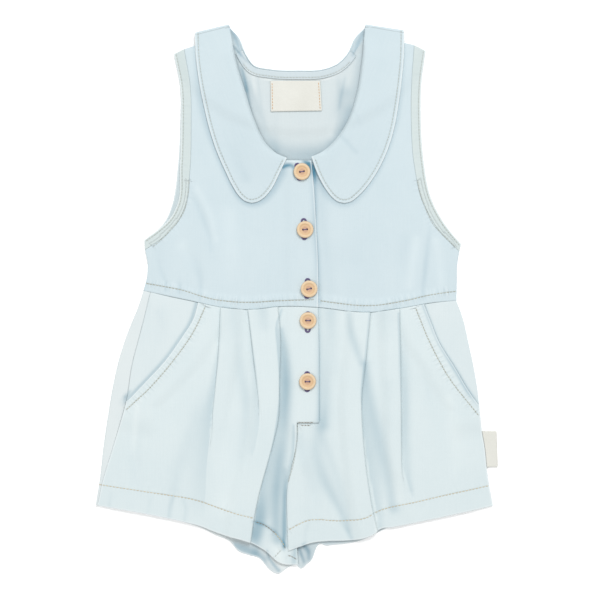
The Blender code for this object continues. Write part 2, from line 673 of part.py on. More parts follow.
def back_bodice():
    left = joined(armhole_seam(ARMHOLE_RIGHT), curve(SIDE_RIGHT, SIDE_POINTS))
    right = joined(armhole_seam(ARMHOLE_LEFT), curve(SIDE_LEFT, SIDE_POINTS))
    top = joined(
        curve(SHOULDER_RIGHT, SHOULDER_POINTS),
        curve(BACK_NECK_SEAM, BACK_NECK_POINTS),
        curve(SHOULDER_LEFT, SHOULDER_POINTS),
    )
    bottom = waist_stretch(SIDE_RIGHT[-1].x, SIDE_LEFT[-1].x, len(top))
    left[-1], right[-1] = bottom[0], bottom[-1]
    return patch(top, bottom, left, right)


def front_neck(fold, shoulder_point, centre_point):
    """Front neck seam beneath the collar, from the shoulder down to the placket."""
    inset = NECK_SEAM_INSET if fold is NECK_FOLD_LEFT else -NECK_SEAM_INSET
    seam = offset(curve(fold, 2 * FRONT_NECK_POINTS), inset)
    seam = seam[seam[:, 1] < shoulder_point.y - 1][1::3]
    return curve([shoulder_point] + list(seam[::-1]) + [centre_point], FRONT_NECK_POINTS)


def right_front_bodice():
    left = joined(armhole_seam(ARMHOLE_RIGHT), curve(SIDE_RIGHT, SIDE_POINTS))
    neck = front_neck(NECK_FOLD_RIGHT, SHOULDER_RIGHT[-1], NECK_CENTRE_RIGHT)
    centre = curve([NECK_CENTRE_RIGHT, PLACKET_BODICE[0]], CENTRE_POINTS)
    top = joined(curve(SHOULDER_RIGHT, SHOULDER_POINTS), neck, centre)
    right = curve(PLACKET_BODICE, len(left))
    bottom = waist_stretch(SIDE_RIGHT[-1].x, PLACKET_BODICE[-1].x, len(top))
    left[-1], right[-1] = bottom[0], bottom[-1]
    return patch(top, bottom, left, right)


def left_front_bodice():
    right = joined(armhole_seam(ARMHOLE_LEFT), curve(SIDE_LEFT, SIDE_POINTS))
    neck = front_neck(NECK_FOLD_LEFT, SHOULDER_LEFT[0], NECK_CENTRE_LEFT)[::-1]
    corner = (LAP_EDGE, NECK_CENTRE_LEFT.y - 1)
    centre = curve([corner, NECK_CENTRE_LEFT], CENTRE_POINTS)
    top = joined(centre, neck, curve(SHOULDER_LEFT, SHOULDER_POINTS))
    left = curve([corner, (LAP_EDGE, waist_y(LAP_EDGE))], len(right))
    bottom = waist_stretch(LAP_EDGE, SIDE_LEFT[-1].x, len(top))
    left[-1], right[-1] = bottom[0], bottom[-1]
    return patch(top, bottom, left, right)


# The collar: one strip from the right front corner, over both shoulders, to the left one.


def collar_columns():
    """Shares of the collar's width, close together at the neck, where it rolls."""
    roll = COLLAR_ROLL / COLLAR_WIDTH
    return np.concatenate([[0.0, roll / 2], np.linspace(roll, 1, COLLAR_COLUMNS)])


def at_shares(points, shares):
    fine = curve(points, FINE)
    where = shares * (len(fine) - 1)
    index = np.arange(len(fine))
    return np.column_stack([np.interp(where, index, fine[:, 0]), np.interp(where, index, fine[:, 1])])


def collar_front(front_edge, neck_fold, outer, height):
    """Front half of the collar from its corner to the shoulder, and the line it bends over at."""
    shares = collar_columns()
    fold_line = at_shares([neck_fold[-1], outer[-1]], shares)
    run = fold_line[-1] - fold_line[0]
    away = np.array([-run[1], run[0]]) / np.hypot(*run)
    away = away if away[1] > 0 else -away
    top = at_shares(front_edge, shares)
    z_fold = float(height(fold_line[3, 0], SHOULDER_RIGHT[-1].y)) + LAYER
    radius = (z_fold - ON_FLOOR) / 2
    bottom = fold_line - radius * away
    neck, rim = curve(neck_fold, COLLAR_FRONT_ROWS), curve(outer, COLLAR_FRONT_ROWS)
    neck[-1], rim[-1] = bottom[0], bottom[-1]
    plan = patch(top, bottom, neck, rim, shares)
    along = np.linspace(0, 1, len(plan))[:, None]
    z = height(plan[..., 0], plan[..., 1]) + LAYER + COLLAR_CLEAR
    width = shares * COLLAR_WIDTH
    crown = COLLAR_CROWN * smooth_step(width / CROWN_RISE)
    crown = crown * (1 - smooth_step((width - CROWN_RISE) / CROWN_FALL))
    drop = COLLAR_DROP * (1 - smooth_step(width / COLLAR_ROLL))
    level = smooth_step((along - COLLAR_LEVELS) / (1 - COLLAR_LEVELS))
    z = z + (crown - drop) * smooth_step(along / COLLAR_ENDS) * (1 - level)
    z = z * (1 - level) + z_fold * level
    return np.dstack([plan, z]), bottom, away, radius


def collar_bend(line, away, radius):
    """Rows of the half turn that takes the collar from on top of the shoulder to beneath it."""
    rows = []
    for step in range(1, BEND_STEPS + 1):
        angle = math.pi * step / (BEND_STEPS + 1)
        plan = line + radius * math.sin(angle) * away
        z = np.full(len(line), ON_FLOOR + radius * (1 + math.cos(angle)))
        rows.append(np.column_stack([plan, z]))
    return np.array(rows)


def collar():
    shares = collar_columns()
    right, right_line, right_away, right_radius = collar_front(
        COLLAR_FRONT_RIGHT, NECK_FOLD_RIGHT, COLLAR_OUTER_RIGHT, right_bodice_z
    )

    def under_left_collar(x, y):
        beside_placket = 1 - smooth_step((x - PLACKET_BODICE[1].x - LAYER) / LAP_RAMP)
        return left_bodice_z(x, y) + LAYER * beside_placket

    left, left_line, left_away, left_radius = collar_front(
        COLLAR_FRONT_LEFT, NECK_FOLD_LEFT, COLLAR_OUTER_LEFT, under_left_collar
    )
    angles = np.linspace(math.pi, 2 * math.pi, COLLAR_RIM_STEPS + 1)[1:-1]
    rim = [
        (
            COLLAR_CENTRE[0] + COLLAR_BACK_REACH[0] * math.cos(a),
            COLLAR_CENTRE[1] + COLLAR_BACK_REACH[1] * math.sin(a),
        )
        for a in angles
    ]
    neck = list(BACK_NECK_FOLD[1:-1])
    inner = curve([right_line[0]] + neck + [left_line[0]], COLLAR_BACK_ROWS)
    outer = curve([right_line[-1]] + rim + [left_line[-1]], COLLAR_BACK_ROWS)
    plan = patch(right_line, left_line, inner, outer, shares)
    along = np.linspace(0, 1, len(plan))[:, None]
    middle = smooth_step(along / COLLAR_ENDS) * smooth_step((1 - along) / COLLAR_ENDS)
    width = shares * COLLAR_WIDTH
    z = ON_FLOOR + LAYER * (1 - smooth_step(width / COLLAR_ROLL)) * middle
    back = np.dstack([plan, z])
    return np.concatenate([
        right,
        collar_bend(right_line, right_away, right_radius),
        back,
        collar_bend(left_line, left_away, left_radius)[::-1],
        left[::-1],
    ])


def neck_tape():
    """Tape over the seam inside the back of the neck."""
    fold = curve(BACK_NECK_FOLD, FINE)
    fold = curve(fold[fold[:, 1] < NECK_TAPE_TOP][::TAPE_POINTS // 2], TAPE_POINTS)
    near, far = (offset(fold, distance) for distance in NECK_TAPE)
    return np.stack([near, (near + far) / 2, far], axis=1)


def rectangle(corners, rows, columns):
    """Grid over a four-sided piece, whose corners run clockwise from the upper left."""
    a, b, c, d = (np.array(corner) for corner in corners)
    u = np.linspace(0, 1, columns)[None, :, None]
    v = np.linspace(0, 1, rows)[:, None, None]
    return (1 - v) * ((1 - u) * a + u * b) + v * ((1 - u) * d + u * c)


def side_label():
    """Loop of tape in the left side seam, folded at its outer end."""
    upper_far, lower_far = (np.array(end) for end in SIDE_LABEL_FOLD)
    hip = curve(HIP_LEFT, FINE)
    lift = SIDE_LABEL_WALL + GAP
    turn = np.linspace(-90, 90, FOLD_STEPS + 2) * math.pi / 180
    rows = []
    for share in np.linspace(0, 1, SIDE_LABEL_ROWS):
        far = upper_far + share * (lower_far - upper_far)
        near_x = outline_x(hip, far[1]) + GAP
        bend_x = far[0] - (SIDE_LABEL_WALL + lift) / 2
        middle_x = (near_x + bend_x) / 2
        bend = [bend_x + lift / 2 * math.cos(angle) for angle in turn]
        x = np.array([near_x, middle_x] + bend + [middle_x, near_x])
        z = [0.0, 0.0] + [lift / 2 * (1 + math.sin(angle)) for angle in turn] + [lift, lift]
        y = np.full(len(x), far[1])
        rows.append(np.column_stack([x, y, np.array(z) + SIDE_LABEL_WALL / 2]))
    return np.array(rows)


# Buttons.


def button_profile():
    """Half section of a button, down its outer side from the middle of its dished top."""
    top, dish = BUTTON_HEIGHT, BUTTON_HEIGHT - BUTTON_DISH
    inner = BUTTON_RADIUS - BUTTON_RIM
    return [
        (0.0, dish), (inner - BUTTON_EDGE, dish), (inner, top - BUTTON_EDGE / 4),
        (inner + BUTTON_EDGE / 2, top), (BUTTON_RADIUS - BUTTON_EDGE, top),
        (BUTTON_RADIUS, top - BUTTON_EDGE), (BUTTON_RADIUS, BUTTON_EDGE),
        (BUTTON_RADIUS - BUTTON_EDGE, 0.0), (0.0, 0.0),
    ]


def hole_cutter(name, at, height, collection):
    work = bmesh.new()
    bmesh.ops.create_cone(
        work, cap_ends=True, segments=BUTTON_HOLE_STEPS, radius1=BUTTON_HOLE_RADIUS * MM,
        radius2=BUTTON_HOLE_RADIUS * MM, depth=4 * BUTTON_HEIGHT * MM,
    )
    mesh = bpy.data.meshes.new(name)
    work.to_mesh(mesh)
    work.free()
    cutter = bpy.data.objects.new(name, mesh)
    cutter.location = (at[0] * MM, at[1] * MM, height * MM)
    cutter.hide_render = True
    cutter.display_type = "WIRE"
    collection.objects.link(cutter)
    return cutter


def button(name, place, height, material, collection, cutters):
    profile = button_profile()
    mesh = bpy.data.meshes.new(name)
    points = [(x * MM, 0.0, z * MM) for x, z in profile]
    mesh.from_pydata(points, [(i, i + 1) for i in range(len(points) - 1)], [])
    mesh.materials.append(material)
    made = bpy.data.objects.new(name, mesh)
    made.location = (place.x * MM, place.y * MM, height * MM)
    collection.objects.link(made)
    turned = made.modifiers.new("Turned", "SCREW")
    turned.steps = turned.render_steps = BUTTON_STEPS
    turned.use_merge_vertices = True
    turned.merge_threshold = SCREW_MERGE
    for side in (-1, 1):
        at = (place.x + side * BUTTON_HOLE_SPACING / 2, place.y)
        hole = made.modifiers.new("Hole", "BOOLEAN")
        hole.operation = "DIFFERENCE"
        hole.object = hole_cutter(f"{name}_hole_{side}", at, height, cutters)
    return made


def placket_top(place):
    """Lowest height at which a button clears the cloth under it."""
    angles = np.linspace(0, 2 * math.pi, BUTTON_STEPS)
    x = place.x + BUTTON_RADIUS * np.cos(angles)
    y = place.y + BUTTON_RADIUS * np.sin(angles)
    if place.y > waist_y(place.x):
        middle = right_bodice_z(x, np.maximum(y, waist_y(x)))
    else:
        middle = ON_FLOOR + LAYER + lap(x) + leg_air(x, y)
    return float(middle.max()) + WALL / 2 + GAP


def material(name, look):
    *colour, roughness = look
    made = bpy.data.materials.new(name)
    made.use_nodes = True
    shader = made.node_tree.nodes["Principled BSDF"]
    shader.inputs["Base Color"].default_value = (*colour, 1.0)
    shader.inputs["Roughness"].default_value = roughness
    shader.inputs["Metallic"].default_value = 0.0
    made.diffuse_color = (*colour, 1.0)
    return made


def clear_scene():
    for leftover in list(bpy.data.objects):
        bpy.data.objects.remove(leftover)


def new_collection(name):
    made = bpy.data.collections.new(name)
    bpy.context.scene.collection.children.link(made)
    return made


def main():
    clear_scene()
    garment = new_collection("short_jumpsuit")
    cutters = new_collection("cutters")
    denim = material("denim", DENIM)
    inside = material("denim_inside", DENIM_INSIDE)
    label = material("label_cloth", LABEL_CLOTH)
    wood = material("wood", WOOD)

    flat_sheet("back_bodice", back_bodice(), back_bodice_z, inside, garment)
    flat_sheet("front_bodice_right", right_front_bodice(), right_bodice_z, denim, garment)
    flat_sheet("front_bodice_left", left_front_bodice(), left_bodice_z, denim, garment)
    for side, armhole, outward in (("right", ARMHOLE_RIGHT, 1), ("left", ARMHOLE_LEFT, -1)):
        front = armhole_band(armhole, 0.0, outward)
        back = armhole_band(armhole, 1.0, outward)
        flat_sheet(f"armhole_band_front_{side}", front, left_bodice_z, denim, garment)
        flat_sheet(f"armhole_band_back_{side}", back, back_bodice_z, inside, garment)
    sheet("collar", collar(), WALL, denim, garment)
    flat_sheet("neck_tape", neck_tape(), on_back_z, inside, garment)
    label_plan = rectangle(NECK_LABEL, *NECK_LABEL_GRID)
    flat_sheet("neck_label", label_plan, on_back_z, label, garment, NECK_LABEL_WALL)

    sheet("shorts_front_right", right_front_leg(), WALL, denim, garment)
    sheet("shorts_front_left", left_front_leg(), WALL, denim, garment)
    sheet("shorts_back_right", right_back_leg(), WALL, denim, garment)
    sheet("shorts_back_left", left_back_leg(), WALL, denim, garment)
    pocket = pocket_side(POCKET_RIGHT, SEAM_RIGHT, FRONT_HEM_RIGHT, 1)
    sheet("pocket_side_right", pocket, WALL, denim, garment)
    pocket = pocket_side(POCKET_LEFT, HIP_LEFT, FRONT_HEM_LEFT, -1)
    sheet("pocket_side_left", pocket, WALL, denim, garment)
    sheet("side_label", side_label(), SIDE_LABEL_WALL, label, garment)

    for number, place in enumerate(BUTTONS, start=1):
        button(f"button_{number}", place, placket_top(place), wood, garment, cutters)


main()
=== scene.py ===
"""How a child's short sleeveless jumpsuit in pale washed denim looks, lying flat with its front up.

X runs across the garment towards the wearer's left, Y from the hems to the neck, and Z up from the
surface that it lies on. Sizes are millimetres until MM turns them into metres. The first half
repeats the construction of the cloth pieces, more finely. The second half gives them thickness,
creases, seams, stitches and materials, and sets the light and the camera.
"""

import math
from collections import namedtuple

import bmesh
import bpy
import numpy as np
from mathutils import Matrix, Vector
from mathutils.bvhtree import BVHTree

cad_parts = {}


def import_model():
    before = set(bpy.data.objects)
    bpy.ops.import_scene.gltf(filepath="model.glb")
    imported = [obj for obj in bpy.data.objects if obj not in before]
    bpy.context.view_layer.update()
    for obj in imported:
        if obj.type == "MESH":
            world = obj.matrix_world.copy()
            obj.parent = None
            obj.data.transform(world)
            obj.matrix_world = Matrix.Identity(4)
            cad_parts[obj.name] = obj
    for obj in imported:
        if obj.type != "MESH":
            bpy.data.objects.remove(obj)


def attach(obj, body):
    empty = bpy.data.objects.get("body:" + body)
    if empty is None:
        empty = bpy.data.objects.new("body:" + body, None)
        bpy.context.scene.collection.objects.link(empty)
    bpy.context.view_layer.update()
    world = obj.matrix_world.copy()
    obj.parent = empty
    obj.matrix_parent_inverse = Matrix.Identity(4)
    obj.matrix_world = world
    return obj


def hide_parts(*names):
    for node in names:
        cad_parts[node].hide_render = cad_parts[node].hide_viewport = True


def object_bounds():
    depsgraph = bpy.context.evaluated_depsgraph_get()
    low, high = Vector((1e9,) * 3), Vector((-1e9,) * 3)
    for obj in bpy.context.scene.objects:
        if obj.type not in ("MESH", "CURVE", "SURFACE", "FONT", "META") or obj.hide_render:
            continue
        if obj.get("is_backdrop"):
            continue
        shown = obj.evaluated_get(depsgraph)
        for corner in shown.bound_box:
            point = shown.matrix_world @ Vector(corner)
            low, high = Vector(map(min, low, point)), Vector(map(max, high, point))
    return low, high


MM = 0.001
SCREW_MERGE = 0.00001

# Cloth.
WALL = 1.2  # thickness of one layer of cloth
GAP = 0.3  # space between two layers
SEAM_GAP = 0.08  # space between two pieces at a seam
LAYER = WALL + GAP  # height from one layer to the next
ON_FLOOR = WALL / 2  # middle of a wall that lies on the surface

# Air under the front panels, and the lengths over which a layer settles down again.
BODICE_AIR = 1.2
SHORTS_AIR = 1.4
SIDE_SETTLE = 26.0
PLEAT_SETTLE = 12.0
PLEAT_OPENS = 3.0  # a pleat that runs under by less than this begins to open
PLEAT_OPEN_REACH = 3.5  # half width of the soft step that an opened pleat leaves
SAME_PLACE = 0.003  # two points closer than this count as one

# Waist seam: its allowance is pressed up and stitched down, which raises the bodice's lower rim.
WAIST_GAP = 0.05
WAIST_RIM = 6.5
WAIST_RIM_RISE = 1.1

# The right front lies over the left one, from LAP_START to the placket's free edge.
LAP_EDGE = -2.0  # hidden edge of the left front
LAP_START = -4.0
LAP_RAMP = 10.0
PLACKET_FOOT = -111.2  # where the placket ends, above the crotch
PLACKET_FOOT_STEP = 0.002  # share of a leg's length over which the placket's tab ends
PLACKET_EDGE = (18.5, 19.5)  # its free edge below the waist seam: at the top, and lower down
PLACKET_EDGE_SETTLE = 0.2  # share of a leg's length over which the edge gets there
LAP_SETTLE = 0.08  # and over which a lap comes down again
CROTCH_POINT = -152.0  # where the two fronts part into legs
CROTCH_X = -5.6
LEG_LAP = 3.0  # from here on outwards, the left leg comes down from over the right one

# Collar.
COLLAR_WIDTH = 37.0
COLLAR_SPREAD = 80.0  # mean radius of its back edge, to turn a ratio into a distance
COLLAR_CENTRE = (1.5, 240.0)
COLLAR_BACK_REACH = (93.0, 74.0)  # half width and depth of its outer edge behind the neck
COLLAR_ROLL = 2.0  # width of the turned edge at the neck seam
COLLAR_CLEAR = 0.25  # extra space under it, which lets it pass over the panels' facets
COLLAR_CROWN = 1.5  # height of the soft rise beside the neck
CROWN_RISE = 4.0  # width over which it rises
CROWN_FALL = 26.0  # width over which it falls away towards the collar's outer edge
COLLAR_DROP = 2.0  # how far the turned edge comes down to the neck seam
COLLAR_ENDS = 1 / 6  # share of a stretch over which crown and drop fade out at its ends
COLLAR_LEVELS = 0.8  # share of a front half after which it comes level with its bend
NECK_SEAM_INSET = 3.2  # how far the front neck seam lies inside the collar's fold

NECK_TAPE = (1.2, 8.0)  # near and far edge of the tape, from the back neckline
NECK_TAPE_TOP = 224.0  # where both its ends disappear beneath the collar
NECK_LABEL_WALL = 1.0
NECK_LABEL = ((-24.5, 195.8), (20.5, 196.0), (22.0, 169.0), (-24.0, 168.3))

SIDE_LABEL_WALL = 1.0
SIDE_LABEL_FOLD = ((179.5, -119.5), (180.5, -151.8))  # ends of its outer, folded edge
SIDE_LABEL_ROWS = 25
SIDE_LABEL_COLUMNS = 12

BUTTON_RADIUS = 7.6
BUTTON_HEIGHT = 3.0
BUTTON_RIM = 1.9
BUTTON_DISH = 0.8
BUTTON_EDGE = 0.9
BUTTON_HOLE_RADIUS = 0.85
BUTTON_HOLE_SPACING = 3.6
BUTTON_STEPS = 28
BUTTON_HOLE_STEPS = 10

POCKET_UNDERLAP = 14.0  # how far the pocket's side piece runs on beneath the front
POCKET_CLEAR = 6.0  # how far beyond it the front stays up
POCKET_FOOT = 0.5  # where it ends, as a share of the way from the waist seam to the hem
POCKET_SETTLE = (0.56, 0.1)  # where the front begins to come down below it, and over how long
# Each armhole from the shoulder to the side seam: the free edge of its band, the seam between band
# and panel, and how far the back piece shows beyond the front one.
Armhole = namedtuple("Armhole", "edge_x edge_y seam_x seam_y back_show")
ARMHOLE_RIGHT = [
    Armhole(-111.3, 220.0, -102.0, 224.4, 0.0),
    Armhole(-105.6, 190.0, -96.5, 190.0, 0.3),
    Armhole(-104.9, 157.0, -95.8, 155.0, 0.9),
    Armhole(-105.9, 120.0, -97.0, 114.0, 1.9),
    Armhole(-108.5, 84.0, -101.5, 81.5, 4.7),
    Armhole(-114.5, 72.5, -106.8, 70.5, 3.2),
    Armhole(-124.2, 63.2, -118.5, 56.8, 0.5),
    Armhole(-137.8, 53.0, -137.2, 43.8, 0.0),
]
ARMHOLE_LEFT = [
    Armhole(115.4, 222.8, 105.0, 228.0, 0.0),
    Armhole(111.9, 196.0, 102.8, 196.0, -0.5),
    Armhole(111.2, 160.0, 102.4, 160.0, -1.0),
    Armhole(113.6, 124.0, 104.8, 122.0, -1.0),
    Armhole(120.6, 89.5, 113.0, 86.5, -1.0),
    Armhole(132.8, 66.8, 127.2, 61.2, -0.5),
    Armhole(147.3, 49.0, 145.6, 42.3, 0.0),
]

# Edges, each a few points that a smooth curve runs through.
Point = namedtuple("Point", "x y")


def edge(*pairs):
    return [Point(*pair) for pair in pairs]


SIDE_RIGHT = edge((-137.2, 43.8), (-134.8, 30.0), (-135.4, 20.0), (-138.8, 7.0))
SIDE_LEFT = edge((145.6, 42.3), (143.8, 30.0), (143.5, 14.0), (143.0, -2.0))
SHOULDER_RIGHT = edge((-102.0, 224.4), (-63.5, 236.5))
SHOULDER_LEFT = edge((63.0, 237.0), (105.0, 228.0))
BACK_NECK_SEAM = edge(
    (-63.5, 236.5), (-55.0, 225.5), (-49.0, 215.5), (-41.0, 207.6), (-26.0, 204.0), (1.0, 202.8),
    (25.0, 204.3), (38.5, 208.8), (48.0, 217.5), (54.5, 226.5), (63.0, 237.0),
)
BACK_NECK_FOLD = edge(
    (-61.5, 246.4), (-53.3, 235.5), (-46.3, 219.5), (-39.0, 209.8), (-26.0, 206.7), (1.0, 205.4),
    (25.0, 207.0), (36.5, 211.9), (44.8, 220.5), (52.3, 235.5), (61.0, 246.4),
)
NECK_FOLD_RIGHT = edge(
    (-9.5, 126.5), (-18.5, 130.5), (-27.0, 138.0), (-38.5, 160.0), (-47.5, 187.5), (-55.5, 214.5),
    (-61.5, 246.4),
)
NECK_FOLD_LEFT = edge(
    (12.5, 127.5), (22.0, 132.0), (31.5, 140.0), (44.5, 158.5), (53.0, 183.0), (57.5, 210.0),
    (61.0, 246.4),
)
COLLAR_FRONT_RIGHT = edge(
    (-9.1, 126.3), (-15.3, 113.8), (-24.0, 97.4), (-30.4, 90.4), (-36.0, 87.1), (-41.3, 86.0),
)
COLLAR_FRONT_LEFT = edge(
    (12.2, 127.4), (17.4, 113.0), (26.3, 97.0), (31.5, 90.8), (36.6, 87.1), (42.2, 85.8),
)
COLLAR_OUTER_RIGHT = edge(
    (-41.3, 86.0), (-46.8, 87.6), (-51.8, 91.5), (-58.3, 101.1), (-65.0, 114.7), (-73.1, 133.4),
    (-79.8, 154.4), (-84.0, 172.1), (-88.0, 192.0), (-91.2, 215.4), (-92.5, 239.0),
)
COLLAR_OUTER_LEFT = edge(
    (42.2, 85.8), (48.2, 87.3), (54.6, 92.2), (61.0, 98.8), (70.2, 111.6), (79.8, 130.5),
    (86.8, 152.4), (90.3, 171.1), (93.2, 192.0), (95.5, 216.4), (96.0, 241.0),
)
NECK_CENTRE_RIGHT = Point(-12.0, 124.5)
NECK_CENTRE_LEFT = Point(14.0, 124.5)
PLACKET_BODICE = edge((12.5, 124.0), (15.0, 97.0), (17.0, 61.0), (18.5, 30.0), (18.5, -7.8))
WAIST = edge(
    (-138.8, 7.0), (-101.0, -1.0), (-61.0, -9.0), (-43.0, -10.0), (-11.0, -7.0), (18.5, -8.0),
    (63.5, -12.5), (92.0, -9.0), (124.0, -3.5), (143.0, -2.0),
)
FRONT_HEM_RIGHT = edge(
    (-182.0, -186.2), (-133.0, -194.8), (-101.0, -201.6), (-87.0, -205.2), (-74.0, -210.4),
    (-61.0, -214.6), (-52.0, -216.8), (-40.0, -221.0), (-28.0, -228.0), (-18.0, -237.0),
    (2.0, -240.0),
)
FRONT_HEM_LEFT = edge(
    (-9.0, -227.5), (2.5, -223.2), (13.0, -220.0), (27.0, -218.4), (42.0, -218.0), (57.0, -216.4),
    (69.5, -211.6), (74.0, -208.0), (86.0, -206.0), (110.0, -201.2), (143.0, -194.2),
    (176.0, -186.8),
)
BACK_HEM_RIGHT = edge(
    (-182.0, -186.2), (-133.0, -194.8), (-101.5, -202.0), (-87.0, -206.6), (-73.0, -213.6),
    (-60.0, -219.8), (-54.0, -227.0), (-44.0, -231.2), (-33.0, -235.2), (-26.0, -243.5),
    (-17.0, -248.0), (-9.0, -242.6), (-3.0, -240.0),
)
BACK_HEM_LEFT = edge(
    (-1.0, -239.5), (2.5, -243.2), (8.5, -239.4), (13.8, -233.5), (16.5, -225.6), (27.0, -222.8),
    (43.0, -221.0), (57.0, -218.2), (71.0, -211.4), (79.0, -207.6), (110.0, -201.4),
    (143.0, -194.4), (176.0, -187.0),
)
HIP_RIGHT = edge(
    (-138.8, 7.0), (-144.6, -10.0), (-150.2, -23.4), (-159.6, -50.0), (-166.0, -77.0),
    (-170.6, -104.0), (-174.6, -131.0), (-178.2, -163.0), (-182.0, -186.2),
)
HIP_LEFT = edge(
    (143.0, -2.0), (148.2, -16.0), (154.6, -43.0), (161.4, -78.0), (164.4, -104.0),
    (166.0, -119.5), (168.6, -134.5), (170.4, -152.0), (172.6, -168.0), (176.0, -186.8),
)
# The right side seam lies a little way round on the front.
SEAM_RIGHT = edge(
    (-132.5, 6.0), (-140.0, -25.0), (-149.0, -60.0), (-154.5, -94.0), (-160.5, -115.0),
    (-167.5, -138.0), (-176.5, -168.0), (-180.0, -185.0),
)
POCKET_RIGHT = edge(
    (-89.5, -4.0), (-93.5, -18.0), (-103.0, -33.5), (-119.0, -56.0), (-137.0, -75.5),
    (-154.5, -94.0),
)
POCKET_LEFT = edge(
    (114.0, -6.0), (119.5, -20.0), (126.5, -37.5), (142.0, -63.0), (155.5, -85.5), (164.6, -98.0),
)
CROTCH_SEAM = edge((-0.5, -111.7), (-0.5, -128.0), (-2.8, -141.5), (-5.6, -152.0))
INSEAM_RIGHT = edge((-5.6, -152.0), (-3.5, -170.0), (-2.0, -195.0), (0.5, -239.8))
INSEAM_LEFT = edge((-5.6, -152.0), (-9.4, -170.0), (-9.6, -200.0), (-8.6, -228.3))
BACK_INSEAM_RIGHT = edge(
    (3.0, -9.0), (3.0, -80.0), (3.0, -130.0), (2.0, -155.0), (-1.0, -195.0), (-3.6, -240.5)
)
BACK_INSEAM_LEFT = edge(
    (3.4, -9.0), (3.4, -80.0), (3.4, -130.0), (2.6, -155.0), (1.0, -195.0), (-0.5, -237.5)
)

# Knife pleats, a row for each height at which one is measured. down is the share of the way from
# the waist seam to the hem, edge_x the folded edge, under how far the cloth runs back beneath it,
# and lift the height of one of its layers over the next, in layers of cloth.
Fold = namedtuple("Fold", "down edge_x under lift")
Pleat = namedtuple("Pleat", "faces folds")
PLEATS_RIGHT = [
    Pleat(-1, [
        Fold(0.00, -68.0, 8.5, 1.0), Fold(0.20, -70.0, 8.0, 1.0), Fold(0.36, -73.0, 5.0, 0.8),
        Fold(0.55, -77.0, 1.5, 0.45), Fold(0.80, -81.5, 0.0, 0.1), Fold(1.00, -84.0, 0.0, 0.0),
    ]),
    Pleat(-1, [
        Fold(0.00, -43.5, 8.0, 1.0), Fold(0.20, -38.5, 6.0, 1.0), Fold(0.38, -34.8, 2.0, 0.9),
        Fold(0.52, -36.0, 0.0, 0.35), Fold(0.72, -44.0, 0.0, 0.1), Fold(1.00, -64.0, 0.0, 0.0),
    ]),
    Pleat(1, [
        Fold(0.00, -19.0, 6.0, 1.0), Fold(0.10, -16.8, 8.0, 1.0), Fold(0.30, -17.6, 10.0, 1.0),
        Fold(0.44, -18.5, 12.0, 1.0), Fold(0.55, -23.6, 13.0, 1.0), Fold(0.64, -28.4, 13.0, 1.0),
        Fold(0.77, -35.4, 13.0, 1.0), Fold(0.87, -39.6, 13.0, 1.0), Fold(1.00, -43.5, 13.0, 1.0),
    ]),
]
PLEATS_LEFT = [
    Pleat(1, [
        Fold(0.00, 64.5, 9.0, 1.0), Fold(0.20, 60.5, 9.0, 1.0), Fold(0.38, 56.5, 9.0, 1.0),
        Fold(0.60, 58.5, 9.0, 1.0), Fold(0.85, 65.0, 9.0, 1.0), Fold(1.00, 70.8, 9.0, 1.0),
    ]),
    Pleat(1, [
        Fold(0.00, 90.5, 8.5, 1.0), Fold(0.25, 91.5, 7.0, 1.0), Fold(0.50, 92.0, 4.5, 1.0),
        Fold(0.75, 94.0, 1.5, 0.8), Fold(0.90, 100.0, 0.0, 0.3), Fold(1.00, 106.0, 0.0, 0.0),
    ]),
]

# How many points each stretch of the construction gets, as a multiple of its own few.
BODICE_FINER = 9
COLLAR_FINER = 9
LEG_ROWS_FINER = 9
LEG_COLUMNS_FINER = 9
POCKET_FINER = 8


def finer(count, times):
    return (count - 1) * times + 1


ARMHOLE_POINTS = finer(13, BODICE_FINER)
SIDE_POINTS = finer(4, BODICE_FINER)
SHOULDER_POINTS = finer(4, BODICE_FINER)
BACK_NECK_POINTS = finer(13, BODICE_FINER)
FRONT_NECK_POINTS = finer(9, BODICE_FINER)
CENTRE_POINTS = finer(4, BODICE_FINER)
COLLAR_FRONT_ROWS = finer(12, COLLAR_FINER)
COLLAR_BACK_ROWS = finer(17, 4)
COLLAR_ROLL_STEPS = 4
COLLAR_COLUMNS = finer(5, 7)
COLLAR_RIM_STEPS = 8
FINE = 200
TAPE_STEP = 7
TAPE_ROWS = 113
BAND_COLUMNS = 9
TAPE_COLUMNS = 7
NECK_LABEL_GRID = (25, 41)
LEG_ROWS_ABOVE = finer(9, LEG_ROWS_FINER)
LEG_ROWS_BETWEEN = finer(4, LEG_ROWS_FINER)
LEG_ROWS_BELOW = finer(7, LEG_ROWS_FINER)
LEG_COLUMNS_RIGHT = tuple(count * LEG_COLUMNS_FINER for count in (5, 3, 3, 6))
TAB_COLUMNS = 26  # of the last stretch of the right leg
TAB_INNER = -3.0  # where they begin beside the placket's tab
TAB_REST = 2.5  # and what they cover below it
LEG_COLUMNS_LEFT = tuple(count * LEG_COLUMNS_FINER for count in (7, 3, 5))
BACK_LEG_DOWNS = np.concatenate([np.linspace(0, 0.7, 30)[:-1], np.linspace(0.7, 1, 50)])
BACK_LEG_COLUMNS = 97
BACK_LEG_CROWDING = 1.6
WRAP_COLUMNS = 8
POCKET_ROWS = finer(8, POCKET_FINER)
POCKET_COLUMNS = finer(6, POCKET_FINER)
FOLD_STEPS = 7
BEND_STEPS = 13

BUTTONS = edge((4.0, 114.0), (6.8, 62.0), (10.4, 8.6), (9.5, -19.8), (9.0, -74.7))


def smooth_step(share):
    share = np.clip(share, 0.0, 1.0)
    return share * share * (3.0 - 2.0 * share)


